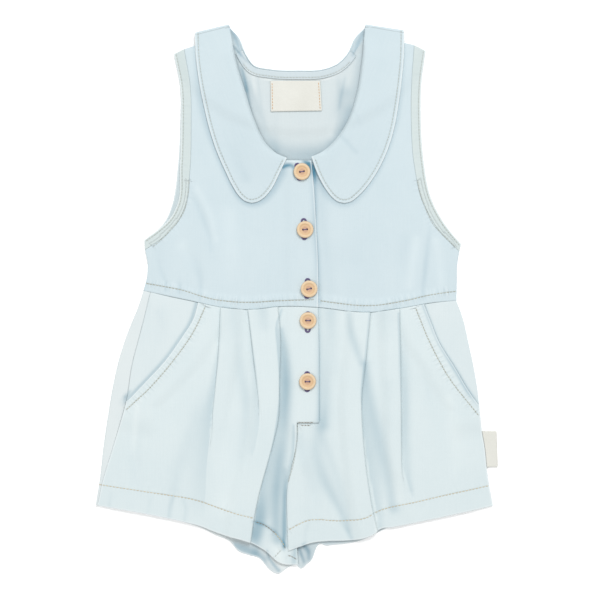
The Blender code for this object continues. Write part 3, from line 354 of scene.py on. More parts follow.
def through(stations, values, where):
    """Cubic curve through values at rising stations, read at where and level past both ends."""
    stations, values = np.asarray(stations, float), np.asarray(values, float)
    slopes = np.gradient(values, stations)
    where = np.clip(where, stations[0], stations[-1])
    left = np.clip(np.searchsorted(stations, where, side="right") - 1, 0, len(stations) - 2)
    width = stations[left + 1] - stations[left]
    t = (where - stations[left]) / width
    return (
        (1 + 2 * t) * (1 - t) ** 2 * values[left]
        + t * (1 - t) ** 2 * width * slopes[left]
        + t * t * (3 - 2 * t) * values[left + 1]
        - t * t * (1 - t) * width * slopes[left + 1]
    )


def curve(points, count):
    """Evenly spaced points along a smooth curve through the given ones."""
    points = np.array([(point[0], point[1]) for point in points], float)
    run = np.concatenate([[0], np.cumsum(np.linalg.norm(np.diff(points, axis=0), axis=1))])
    fine = np.linspace(0, run[-1], 2 * FINE)
    path = np.column_stack([through(run, points[:, 0], fine), through(run, points[:, 1], fine)])
    length = np.concatenate([[0], np.cumsum(np.linalg.norm(np.diff(path, axis=0), axis=1))])
    even = np.linspace(0, length[-1], count)
    return np.column_stack([np.interp(even, length, path[:, 0]), np.interp(even, length, path[:, 1])])


def joined(*stretches):
    """One edge from several that meet end to end at corners."""
    return np.concatenate([stretches[0]] + [stretch[1:] for stretch in stretches[1:]])


def offset(points, distance):
    """The curve moved sideways, to the right of its direction where distance is positive."""
    along = np.gradient(points, axis=0)
    along /= np.linalg.norm(along, axis=1)[:, None]
    return points + distance * np.column_stack([along[:, 1], -along[:, 0]])


def patch(top, bottom, left, right, across=None):
    """Grid of points between four edges. top and bottom run across, left and right run down."""
    across = np.linspace(0, 1, len(top)) if across is None else across
    u = across[None, :, None]
    v = np.linspace(0, 1, len(left))[:, None, None]
    ruled = (1 - v) * top[None] + v * bottom[None] + (1 - u) * left[:, None] + u * right[:, None]
    ends = (1 - v) * ((1 - u) * top[0] + u * top[-1]) + v * ((1 - u) * bottom[0] + u * bottom[-1])
    return ruled - ends

# Heights of the middle of each layer.


def waist_y(x):
    return through([p.x for p in WAIST], [p.y for p in WAIST], x)


def outline_x(points, y):
    """Where an edge that runs down the garment lies at height y."""
    falling = points[::-1]
    return np.interp(y, [p[1] for p in falling], [p[0] for p in falling])


def bodice_side(armhole, side, y):
    return outline_x([(row.edge_x, row.edge_y) for row in armhole] + list(side[1:]), y)


def side_air(x, low_x, high_x):
    """From 0 on the outline to 1 well inside it."""
    return smooth_step(np.minimum(x - low_x, high_x - x) / SIDE_SETTLE)


def back_bodice_z(x, y):
    """The back lies on the surface, and on the part of the collar that is turned under it."""
    reach = np.hypot(
        (x - COLLAR_CENTRE[0]) / COLLAR_BACK_REACH[0],
        (y - COLLAR_CENTRE[1]) / COLLAR_BACK_REACH[1],
    )
    beyond = (reach - 1) * COLLAR_SPREAD - PLEAT_SETTLE
    return ON_FLOOR + LAYER * (1 - smooth_step(beyond / PLEAT_SETTLE))


def lap(x):
    """Lift of the right front where it lies over the left one."""
    return LAYER * smooth_step((x - LAP_START + LAP_RAMP) / LAP_RAMP)


def left_bodice_z(x, y):
    low_x = bodice_side(ARMHOLE_RIGHT, SIDE_RIGHT, y)
    high_x = bodice_side(ARMHOLE_LEFT, SIDE_LEFT, y)
    rim = smooth_step((waist_y(x) + 2 * WAIST_RIM - y) / WAIST_RIM)
    air = BODICE_AIR * side_air(x, low_x, high_x)
    return back_bodice_z(x, y) + LAYER + air + WAIST_RIM_RISE * rim * side_air(x, low_x, high_x)


def right_bodice_z(x, y):
    return left_bodice_z(x, y) + lap(x)


def on_back_z(x, y):
    return back_bodice_z(x, y) + LAYER


# The shorts. down is 0 at the waist seam and 1 at the hem, and it takes the place of y.


def hem_y(hem, x):
    return through([p.x for p in hem], [p.y for p in hem], x)


def leg_y(hem, x, down):
    return (1 - down) * waist_y(x) + down * hem_y(hem, x)


def edge_at(points, hem, down):
    """The x at which a lengthwise edge of a leg crosses the given share of the way down."""
    fine = curve(points, FINE)
    top, foot = waist_y(fine[:, 0]), hem_y(hem, fine[:, 0])
    share = (top - fine[:, 1]) / (top - foot)
    return np.interp(down, share, fine[:, 0])


def fold_at(pleat, down):
    """Folded edge, underlap and lift of a pleat at the given share of the way down."""
    stations = [fold.down for fold in pleat.folds]
    edge_x = through(stations, [fold.edge_x for fold in pleat.folds], down)
    under = np.interp(down, stations, [fold.under for fold in pleat.folds])
    lift = np.interp(down, stations, [fold.lift for fold in pleat.folds]) * LAYER
    return edge_x, under, lift


def pleat_points(faces, edge_x, under, lift):
    """Section of a pleat from its lowest layer to its top one, for an edge that faces -X or +X.

    Where the cloth no longer runs back under the edge, the pleat has opened into a soft step.
    """
    folded = smooth_step(under / PLEAT_OPENS)
    turns = np.linspace(-90, 90, FOLD_STEPS + 2) * math.pi / 180
    lower = [(under + lift / 2 * math.cos(a), lift / 2 * (1 + math.sin(a))) for a in turns]
    upper = [(-lift / 2 * math.cos(a), lift / 2 * (3 + math.sin(a))) for a in turns]
    turned = np.array(lower + upper)
    rise = np.linspace(0, 1, len(turned))
    open_step = np.column_stack([PLEAT_OPEN_REACH * (2 * rise - 1), 2 * lift * smooth_step(rise)])
    section = folded * turned + (1 - folded) * open_step
    section = [(edge_x - faces * reach, z) for reach, z in section]
    return section if faces < 0 else section[::-1]


def settled(x, pleats, down):
    """Height of a top layer between pleats, which comes down again beside each of them."""
    height = np.zeros_like(x)
    for pleat in pleats:
        edge_x, under, lift = fold_at(pleat, down)
        inside = (edge_x - x) * pleat.faces
        rise = 2 * lift * (1 - smooth_step((inside - under - LAYER) / PLEAT_SETTLE))
        height = np.maximum(height, np.where(inside >= -SAME_PLACE, rise, 0.0))
    return height


def lifted(section, pleat, others, down):
    """Section of a pleat, raised where it has opened on the slope beside another pleat."""
    opened = 1 - smooth_step(fold_at(pleat, down)[1] / PLEAT_OPENS)
    x, z = np.array(section).T
    return list(zip(x, z + opened * np.maximum(settled(x, others, down) - z, 0)))


def leg_section(start_x, end_x, pleats, counts, down, inner=None):
    """x and height across a front leg panel: stretches of cloth with the pleats between them.

    inner is where the stretch at the end changes into the placket's tab, or what is left of it.
    """
    x, z = [], []
    at = start_x
    for number, count in enumerate(counts):
        before = [p for p in pleats[:number] if p.faces < 0]
        after = [p for p in pleats[number:] if p.faces > 0]
        if number < len(pleats):
            pleat = pleats[number]
            others = before[-1:] + [p for p in pleats[number + 1:] if p.faces > 0][:1]
            section = lifted(pleat_points(pleat.faces, *fold_at(pleat, down)), pleat, others, down)
            stop = section[0][0]
        else:
            section, stop = [], end_x
        stretch = np.linspace(at, stop, count + 1)
        if inner is not None and not section:
            plain = np.linspace(at, inner, count - TAB_COLUMNS + 1)
            stretch = np.concatenate([plain[:-1], np.linspace(inner, stop, TAB_COLUMNS + 1)])
        if number > 0:
            stretch = stretch[1:]
        if section:
            stretch = stretch[:-1]
        x += list(stretch) + [point[0] for point in section]
        near = before[-1:] + after[:1]
        z += list(settled(stretch, near, down)) + [point[1] for point in section]
        at = section[-1][0] if section else stop
    return np.array(x), np.array(z)


def leg_air(x, y):
    return SHORTS_AIR * side_air(x, outline_x(HIP_RIGHT, y), outline_x(HIP_LEFT, y))


def pocket_lift(distance, down):
    """Lift of a front where it lies over its pocket's side piece, by distance from the opening."""
    over = 1 - smooth_step((distance - POCKET_UNDERLAP - POCKET_CLEAR) / PLEAT_SETTLE)
    return LAYER * over * (1 - smooth_step((down - POCKET_SETTLE[0]) / POCKET_SETTLE[1]))


def share_down(x, y, hem):
    return (waist_y(x) - y) / (waist_y(x) - hem_y(hem, x))


# Shares of the way down at the placket's foot and at the crotch, on each leg.
PLACKET_DOWN_RIGHT = float(share_down(0.0, PLACKET_FOOT, FRONT_HEM_RIGHT))
PLACKET_DOWN_LEFT = float(share_down(0.0, PLACKET_FOOT, FRONT_HEM_LEFT))
CROTCH_DOWN_RIGHT = float(share_down(CROTCH_X, CROTCH_POINT, FRONT_HEM_RIGHT))
CROTCH_DOWN_LEFT = float(share_down(CROTCH_X, CROTCH_POINT, FRONT_HEM_LEFT))


def leg_rows(foot, crotch):
    """Shares of the way down a leg at which its rows of points lie."""
    above = np.linspace(0, foot, LEG_ROWS_ABOVE)
    between = np.linspace(foot + PLACKET_FOOT_STEP, crotch, LEG_ROWS_BETWEEN)
    below = np.linspace(crotch, 1, LEG_ROWS_BELOW)[1:]
    return np.concatenate([above, between, below])


def front_leg(start, end, hem, pleats, counts, downs, extra, inner=lambda down: None):
    """Grid of points of a front leg panel, with extra(x, down) as the height over the base."""
    rows = []
    for down in downs:
        x, z = leg_section(start(down), end(down), pleats, counts, down, inner(down))
        y = leg_y(hem, x, down)
        z = z + ON_FLOOR + LAYER + leg_air(x, y) + extra(x, down)
        rows.append(np.column_stack([x, y, z]))
    return np.array(rows)


def right_front_leg():
    """The right front leg, with the placket's lower half as a tab at its upper corner."""

    def start(down):
        if down <= POCKET_FOOT:
            return edge_at(POCKET_RIGHT, FRONT_HEM_RIGHT, down)
        return edge_at(SEAM_RIGHT, FRONT_HEM_RIGHT, down) + SEAM_GAP

    def end(down):
        if down <= PLACKET_DOWN_RIGHT:
            top, lower = PLACKET_EDGE
            return top + (lower - top) * smooth_step(down / PLACKET_EDGE_SETTLE)
        if down <= CROTCH_DOWN_RIGHT:
            return edge_at(CROTCH_SEAM, FRONT_HEM_RIGHT, down)
        return edge_at(INSEAM_RIGHT, FRONT_HEM_RIGHT, down)

    def extra(x, down):
        pocket = pocket_lift(x - edge_at(POCKET_RIGHT, FRONT_HEM_RIGHT, down), down)
        below_foot = (down - PLACKET_DOWN_RIGHT - 2 * PLACKET_FOOT_STEP) / LAP_SETTLE
        placket = lap(x) * (1 - smooth_step(below_foot))
        return np.maximum(pocket, placket)

    def inner(down):
        return TAB_INNER if down <= PLACKET_DOWN_RIGHT else end(down) - TAB_REST

    downs = leg_rows(PLACKET_DOWN_RIGHT, CROTCH_DOWN_RIGHT)
    return front_leg(
        start, end, FRONT_HEM_RIGHT, PLEATS_RIGHT, LEG_COLUMNS_RIGHT, downs, extra, inner
    )


def left_front_leg():
    """The left front leg, whose hidden upper edge runs on beneath the placket."""

    def start(down):
        if down <= PLACKET_DOWN_LEFT:
            return LAP_EDGE
        if down <= CROTCH_DOWN_LEFT:
            return edge_at(CROTCH_SEAM, FRONT_HEM_LEFT, down) + SEAM_GAP
        return edge_at(INSEAM_LEFT, FRONT_HEM_LEFT, down) + GAP

    def end(down):
        if down <= POCKET_FOOT:
            return edge_at(POCKET_LEFT, FRONT_HEM_LEFT, down)
        return edge_at(HIP_LEFT, FRONT_HEM_LEFT, down)

    def extra(x, down):
        pocket = pocket_lift(edge_at(POCKET_LEFT, FRONT_HEM_LEFT, down) - x, down)
        over_right = smooth_step((down - CROTCH_DOWN_LEFT + LAP_SETTLE) / LAP_SETTLE)
        inner = LAYER * over_right * (1 - smooth_step((x - LEG_LAP) / LAP_RAMP))
        return np.maximum(pocket, inner)

    downs = leg_rows(PLACKET_DOWN_LEFT, CROTCH_DOWN_LEFT)
    return front_leg(start, end, FRONT_HEM_LEFT, PLEATS_LEFT, LEG_COLUMNS_LEFT, downs, extra)


def crowded(start, end, count):
    """Values from start to end, closer together towards the end."""
    return end + (start - end) * (1 - np.linspace(0, 1, count)) ** BACK_LEG_CROWDING


def right_back_leg():
    """The right back leg turns over the hip, so that its side seam lies on the front."""
    rows = []
    turn = np.linspace(90, 270, FOLD_STEPS + 2) * math.pi / 180
    for down in BACK_LEG_DOWNS:
        hip = edge_at(HIP_RIGHT, BACK_HEM_RIGHT, down) + LAYER / 2 + WALL / 2
        seam = edge_at(SEAM_RIGHT, BACK_HEM_RIGHT, down)
        inner = edge_at(BACK_INSEAM_RIGHT, BACK_HEM_RIGHT, down)
        seam = max(seam, hip + SEAM_GAP)
        wrapped = np.linspace(seam, hip, WRAP_COLUMNS)[:-1]
        under = crowded(hip, inner, BACK_LEG_COLUMNS)[1:]
        x = np.concatenate([wrapped, hip + LAYER / 2 * np.cos(turn), under])
        z = np.concatenate([
            np.full(len(wrapped), LAYER), LAYER / 2 * (1 + np.sin(turn)), np.zeros(len(under)),
        ])
        rows.append(np.column_stack([x, leg_y(BACK_HEM_RIGHT, x, down), z + ON_FLOOR]))
    return np.array(rows)


def left_back_leg():
    rows = []
    for down in BACK_LEG_DOWNS:
        inner = edge_at(BACK_INSEAM_LEFT, BACK_HEM_LEFT, down)
        hip = edge_at(HIP_LEFT, BACK_HEM_LEFT, down)
        x = crowded(hip, inner, BACK_LEG_COLUMNS)[::-1]
        rows.append(np.column_stack([x, leg_y(BACK_HEM_LEFT, x, down), np.full(len(x), ON_FLOOR)]))
    return np.array(rows)


def pocket_side(opening, side, hem, inward):
    """Side piece of a pocket, from the side seam to a little way beneath the front panel."""
    rows = []
    for down in np.linspace(0, POCKET_FOOT, POCKET_ROWS):
        inner = edge_at(opening, hem, down) + inward * POCKET_UNDERLAP
        outer = edge_at(side, hem, down)
        x = np.linspace(outer + inward * SEAM_GAP, inner, POCKET_COLUMNS)
        y = leg_y(hem, x, down)
        rows.append(np.column_stack([x, y, ON_FLOOR + LAYER + leg_air(x, y)]))
    return np.array(rows)


# The bodice.


def armhole_edge(armhole, show, outward):
    """Free edge of an armhole, with the back piece's extra width where show is 1."""
    points = [(row.edge_x - outward * show * row.back_show, row.edge_y) for row in armhole]
    return curve(points, ARMHOLE_POINTS)


def armhole_seam(armhole):
    return curve([(row.seam_x, row.seam_y) for row in armhole], ARMHOLE_POINTS)


def waist_stretch(low_x, high_x, count):
    x = np.linspace(low_x, high_x, count)
    return np.column_stack([x, waist_y(x) + WAIST_GAP])


def armhole_band(armhole, show, outward):
    """Band along an armhole: its free edge, then its seam with the panel."""
    seam = offset(armhole_seam(armhole), outward * SEAM_GAP)
    free = armhole_edge(armhole, show, outward)
    shares = np.linspace(0, 1, BAND_COLUMNS)[None, :, None]
    return free[:, None] * (1 - shares) + seam[:, None] * shares


def back_bodice():
    left = joined(armhole_seam(ARMHOLE_RIGHT), curve(SIDE_RIGHT, SIDE_POINTS))
    right = joined(armhole_seam(ARMHOLE_LEFT), curve(SIDE_LEFT, SIDE_POINTS))
    top = joined(
        curve(SHOULDER_RIGHT, SHOULDER_POINTS),
        curve(BACK_NECK_SEAM, BACK_NECK_POINTS),
        curve(SHOULDER_LEFT, SHOULDER_POINTS),
    )
    bottom = waist_stretch(SIDE_RIGHT[-1].x, SIDE_LEFT[-1].x, len(top))
    left[-1], right[-1] = bottom[0], bottom[-1]
    return patch(top, bottom, left, right)


def front_neck(fold, shoulder_point, centre_point):
    """Front neck seam beneath the collar, from the shoulder down to the placket."""
    inset = NECK_SEAM_INSET if fold is NECK_FOLD_LEFT else -NECK_SEAM_INSET
    seam = offset(curve(fold, 2 * FRONT_NECK_POINTS), inset)
    seam = seam[seam[:, 1] < shoulder_point.y - 1][1::3]
    return curve([shoulder_point] + list(seam[::-1]) + [centre_point], FRONT_NECK_POINTS)


def right_front_bodice():
    left = joined(armhole_seam(ARMHOLE_RIGHT), curve(SIDE_RIGHT, SIDE_POINTS))
    neck = front_neck(NECK_FOLD_RIGHT, SHOULDER_RIGHT[-1], NECK_CENTRE_RIGHT)
    centre = curve([NECK_CENTRE_RIGHT, PLACKET_BODICE[0]], CENTRE_POINTS)
    top = joined(curve(SHOULDER_RIGHT, SHOULDER_POINTS), neck, centre)
    right = curve(PLACKET_BODICE, len(left))
    bottom = waist_stretch(SIDE_RIGHT[-1].x, PLACKET_BODICE[-1].x, len(top))
    left[-1], right[-1] = bottom[0], bottom[-1]
    return patch(top, bottom, left, right)


def left_front_bodice():
    right = joined(armhole_seam(ARMHOLE_LEFT), curve(SIDE_LEFT, SIDE_POINTS))
    neck = front_neck(NECK_FOLD_LEFT, SHOULDER_LEFT[0], NECK_CENTRE_LEFT)[::-1]
    corner = (LAP_EDGE, NECK_CENTRE_LEFT.y - 1)
    centre = curve([corner, NECK_CENTRE_LEFT], CENTRE_POINTS)
    top = joined(centre, neck, curve(SHOULDER_LEFT, SHOULDER_POINTS))
    left = curve([corner, (LAP_EDGE, waist_y(LAP_EDGE))], len(right))
    bottom = waist_stretch(LAP_EDGE, SIDE_LEFT[-1].x, len(top))
    left[-1], right[-1] = bottom[0], bottom[-1]
    return patch(top, bottom, left, right)


# The collar: one strip from the right front corner, over both shoulders, to the left one.


def collar_columns():
    """Shares of the collar's width, close together at the neck, where it rolls."""
    roll = COLLAR_ROLL / COLLAR_WIDTH
    return np.concatenate([
        np.linspace(0, roll, COLLAR_ROLL_STEPS + 1)[:-1], np.linspace(roll, 1, COLLAR_COLUMNS),
    ])


def at_shares(points, shares):
    fine = curve(points, FINE)
    where = shares * (len(fine) - 1)
    index = np.arange(len(fine))
    return np.column_stack([np.interp(where, index, fine[:, 0]), np.interp(where, index, fine[:, 1])])


def collar_front(front_edge, neck_fold, outer, height):
    """Front half of the collar from its corner to the shoulder, and the line it bends over at."""
    shares = collar_columns()
    fold_line = at_shares([neck_fold[-1], outer[-1]], shares)
    run = fold_line[-1] - fold_line[0]
    away = np.array([-run[1], run[0]]) / np.hypot(*run)
    away = away if away[1] > 0 else -away
    top = at_shares(front_edge, shares)
    quarter = np.interp(0.29, shares, fold_line[:, 0])
    z_fold = float(height(quarter, SHOULDER_RIGHT[-1].y)) + LAYER
    radius = (z_fold - ON_FLOOR) / 2
    bottom = fold_line - radius * away
    neck, rim = curve(neck_fold, COLLAR_FRONT_ROWS), curve(outer, COLLAR_FRONT_ROWS)
    neck[-1], rim[-1] = bottom[0], bottom[-1]
    plan = patch(top, bottom, neck, rim, shares)
    along = np.linspace(0, 1, len(plan))[:, None]
    z = height(plan[..., 0], plan[..., 1]) + LAYER + COLLAR_CLEAR
    width = shares * COLLAR_WIDTH
    crown = COLLAR_CROWN * smooth_step(width / CROWN_RISE)
    crown = crown * (1 - smooth_step((width - CROWN_RISE) / CROWN_FALL))
    drop = COLLAR_DROP * (1 - smooth_step(width / COLLAR_ROLL))
    level = smooth_step((along - COLLAR_LEVELS) / (1 - COLLAR_LEVELS))
    z = z + (crown - drop) * smooth_step(along / COLLAR_ENDS) * (1 - level)
    z = z * (1 - level) + z_fold * level
    return np.dstack([plan, z]), bottom, away, radius


def collar_bend(line, away, radius):
    """Rows of the half turn that takes the collar from on top of the shoulder to beneath it."""
    rows = []
    for step in range(1, BEND_STEPS + 1):
        angle = math.pi * step / (BEND_STEPS + 1)
        plan = line + radius * math.sin(angle) * away
        z = np.full(len(line), ON_FLOOR + radius * (1 + math.cos(angle)))
        rows.append(np.column_stack([plan, z]))
    return np.array(rows)


def collar():
    shares = collar_columns()
    right, right_line, right_away, right_radius = collar_front(
        COLLAR_FRONT_RIGHT, NECK_FOLD_RIGHT, COLLAR_OUTER_RIGHT, right_bodice_z
    )

    def under_left_collar(x, y):
        beside_placket = 1 - smooth_step((x - PLACKET_BODICE[1].x - LAYER) / LAP_RAMP)
        return left_bodice_z(x, y) + LAYER * beside_placket

    left, left_line, left_away, left_radius = collar_front(
        COLLAR_FRONT_LEFT, NECK_FOLD_LEFT, COLLAR_OUTER_LEFT, under_left_collar
    )
    angles = np.linspace(math.pi, 2 * math.pi, COLLAR_RIM_STEPS + 1)[1:-1]
    rim = [
        (
            COLLAR_CENTRE[0] + COLLAR_BACK_REACH[0] * math.cos(a),
            COLLAR_CENTRE[1] + COLLAR_BACK_REACH[1] * math.sin(a),
        )
        for a in angles
    ]
    neck = list(BACK_NECK_FOLD[1:-1])
    inner = curve([right_line[0]] + neck + [left_line[0]], COLLAR_BACK_ROWS)
    outer = curve([right_line[-1]] + rim + [left_line[-1]], COLLAR_BACK_ROWS)
    plan = patch(right_line, left_line, inner, outer, shares)
    along = np.linspace(0, 1, len(plan))[:, None]
    middle = smooth_step(along / COLLAR_ENDS) * smooth_step((1 - along) / COLLAR_ENDS)
    width = shares * COLLAR_WIDTH
    z = ON_FLOOR + LAYER * (1 - smooth_step(width / COLLAR_ROLL)) * middle
    back = np.dstack([plan, z])
    return np.concatenate([
        right,
        collar_bend(right_line, right_away, right_radius),
        back,
        collar_bend(left_line, left_away, left_radius)[::-1],
        left[::-1],
    ])


def neck_tape():
    """Tape over the seam inside the back of the neck."""
    fold = curve(BACK_NECK_FOLD, FINE)
    fold = curve(fold[fold[:, 1] < NECK_TAPE_TOP][::TAPE_STEP], TAPE_ROWS)
    near, far = (offset(fold, distance) for distance in NECK_TAPE)
    shares = np.linspace(0, 1, TAPE_COLUMNS)[None, :, None]
    return near[:, None] * (1 - shares) + far[:, None] * shares


def rectangle(corners, rows, columns):
    """Grid over a four-sided piece, whose corners run clockwise from the upper left."""
    a, b, c, d = (np.array(corner) for corner in corners)
    u = np.linspace(0, 1, columns)[None, :, None]
    v = np.linspace(0, 1, rows)[:, None, None]
    return (1 - v) * ((1 - u) * a + u * b) + v * ((1 - u) * d + u * c)


def side_label():
    """Loop of tape in the left side seam, folded at its outer end."""
    upper_far, lower_far = (np.array(end) for end in SIDE_LABEL_FOLD)
    hip = curve(HIP_LEFT, FINE)
    lift = SIDE_LABEL_WALL + GAP
    turn = np.linspace(-90, 90, FOLD_STEPS + 2) * math.pi / 180
    rows = []
    for share in np.linspace(0, 1, SIDE_LABEL_ROWS):
        far = upper_far + share * (lower_far - upper_far)
        near_x = outline_x(hip, far[1]) + GAP
        bend_x = far[0] - (SIDE_LABEL_WALL + lift) / 2
        flat = np.linspace(near_x, bend_x, SIDE_LABEL_COLUMNS)[:-1]
        x = np.concatenate([flat, bend_x + lift / 2 * np.cos(turn), flat[::-1]])
        z = np.concatenate([0 * flat, lift / 2 * (1 + np.sin(turn)), 0 * flat + lift])
        rows.append(np.column_stack([x, np.full(len(x), far[1]), z + SIDE_LABEL_WALL / 2]))
    return np.array(rows)


def placket_top(place):
    """Lowest height at which a button clears the cloth under it."""
    angles = np.linspace(0, 2 * math.pi, 28)
    x = place.x + BUTTON_RADIUS * np.cos(angles)
    y = place.y + BUTTON_RADIUS * np.sin(angles)
    if place.y > waist_y(place.x):
        middle = right_bodice_z(x, np.maximum(y, waist_y(x)))
    else:
        middle = ON_FLOOR + LAYER + lap(x) + leg_air(x, y)
    return float(middle.max()) + WALL / 2 + GAP


# Creases and painted shading. side 0 is a soft crease, and 1 or -1 a painted shade on one side
# only: 1 on the left of the way along its points. relief is how high the cloth rises along it. Each
# point's level paints shade into the cloth's colour where a fold, recess or gap lies in shadow.
Crease = namedtuple("Crease", "on side relief points")
At = namedtuple("At", "x y width tone")
# How far painted shade darkens a crease, and two painted highlights that make it paler.
NONE, FAINT, SOFT, PLAIN, DEEP, DARK, DARKEST = 0.0, 0.04, 0.08, 0.14, 0.21, 0.31, 0.42
PALE, BRIGHT = -0.06, -0.12


def shaded(group, side, relief, tones, *places):
    """A crease through places (x, y, width), with its painted shade spread evenly over its points."""
    shares = np.linspace(0, len(tones) - 1, len(places))
    return Crease(group, side, relief, [
        At(*place, tone) for place, tone in zip(places, np.interp(shares, range(len(tones)), tones))
    ])


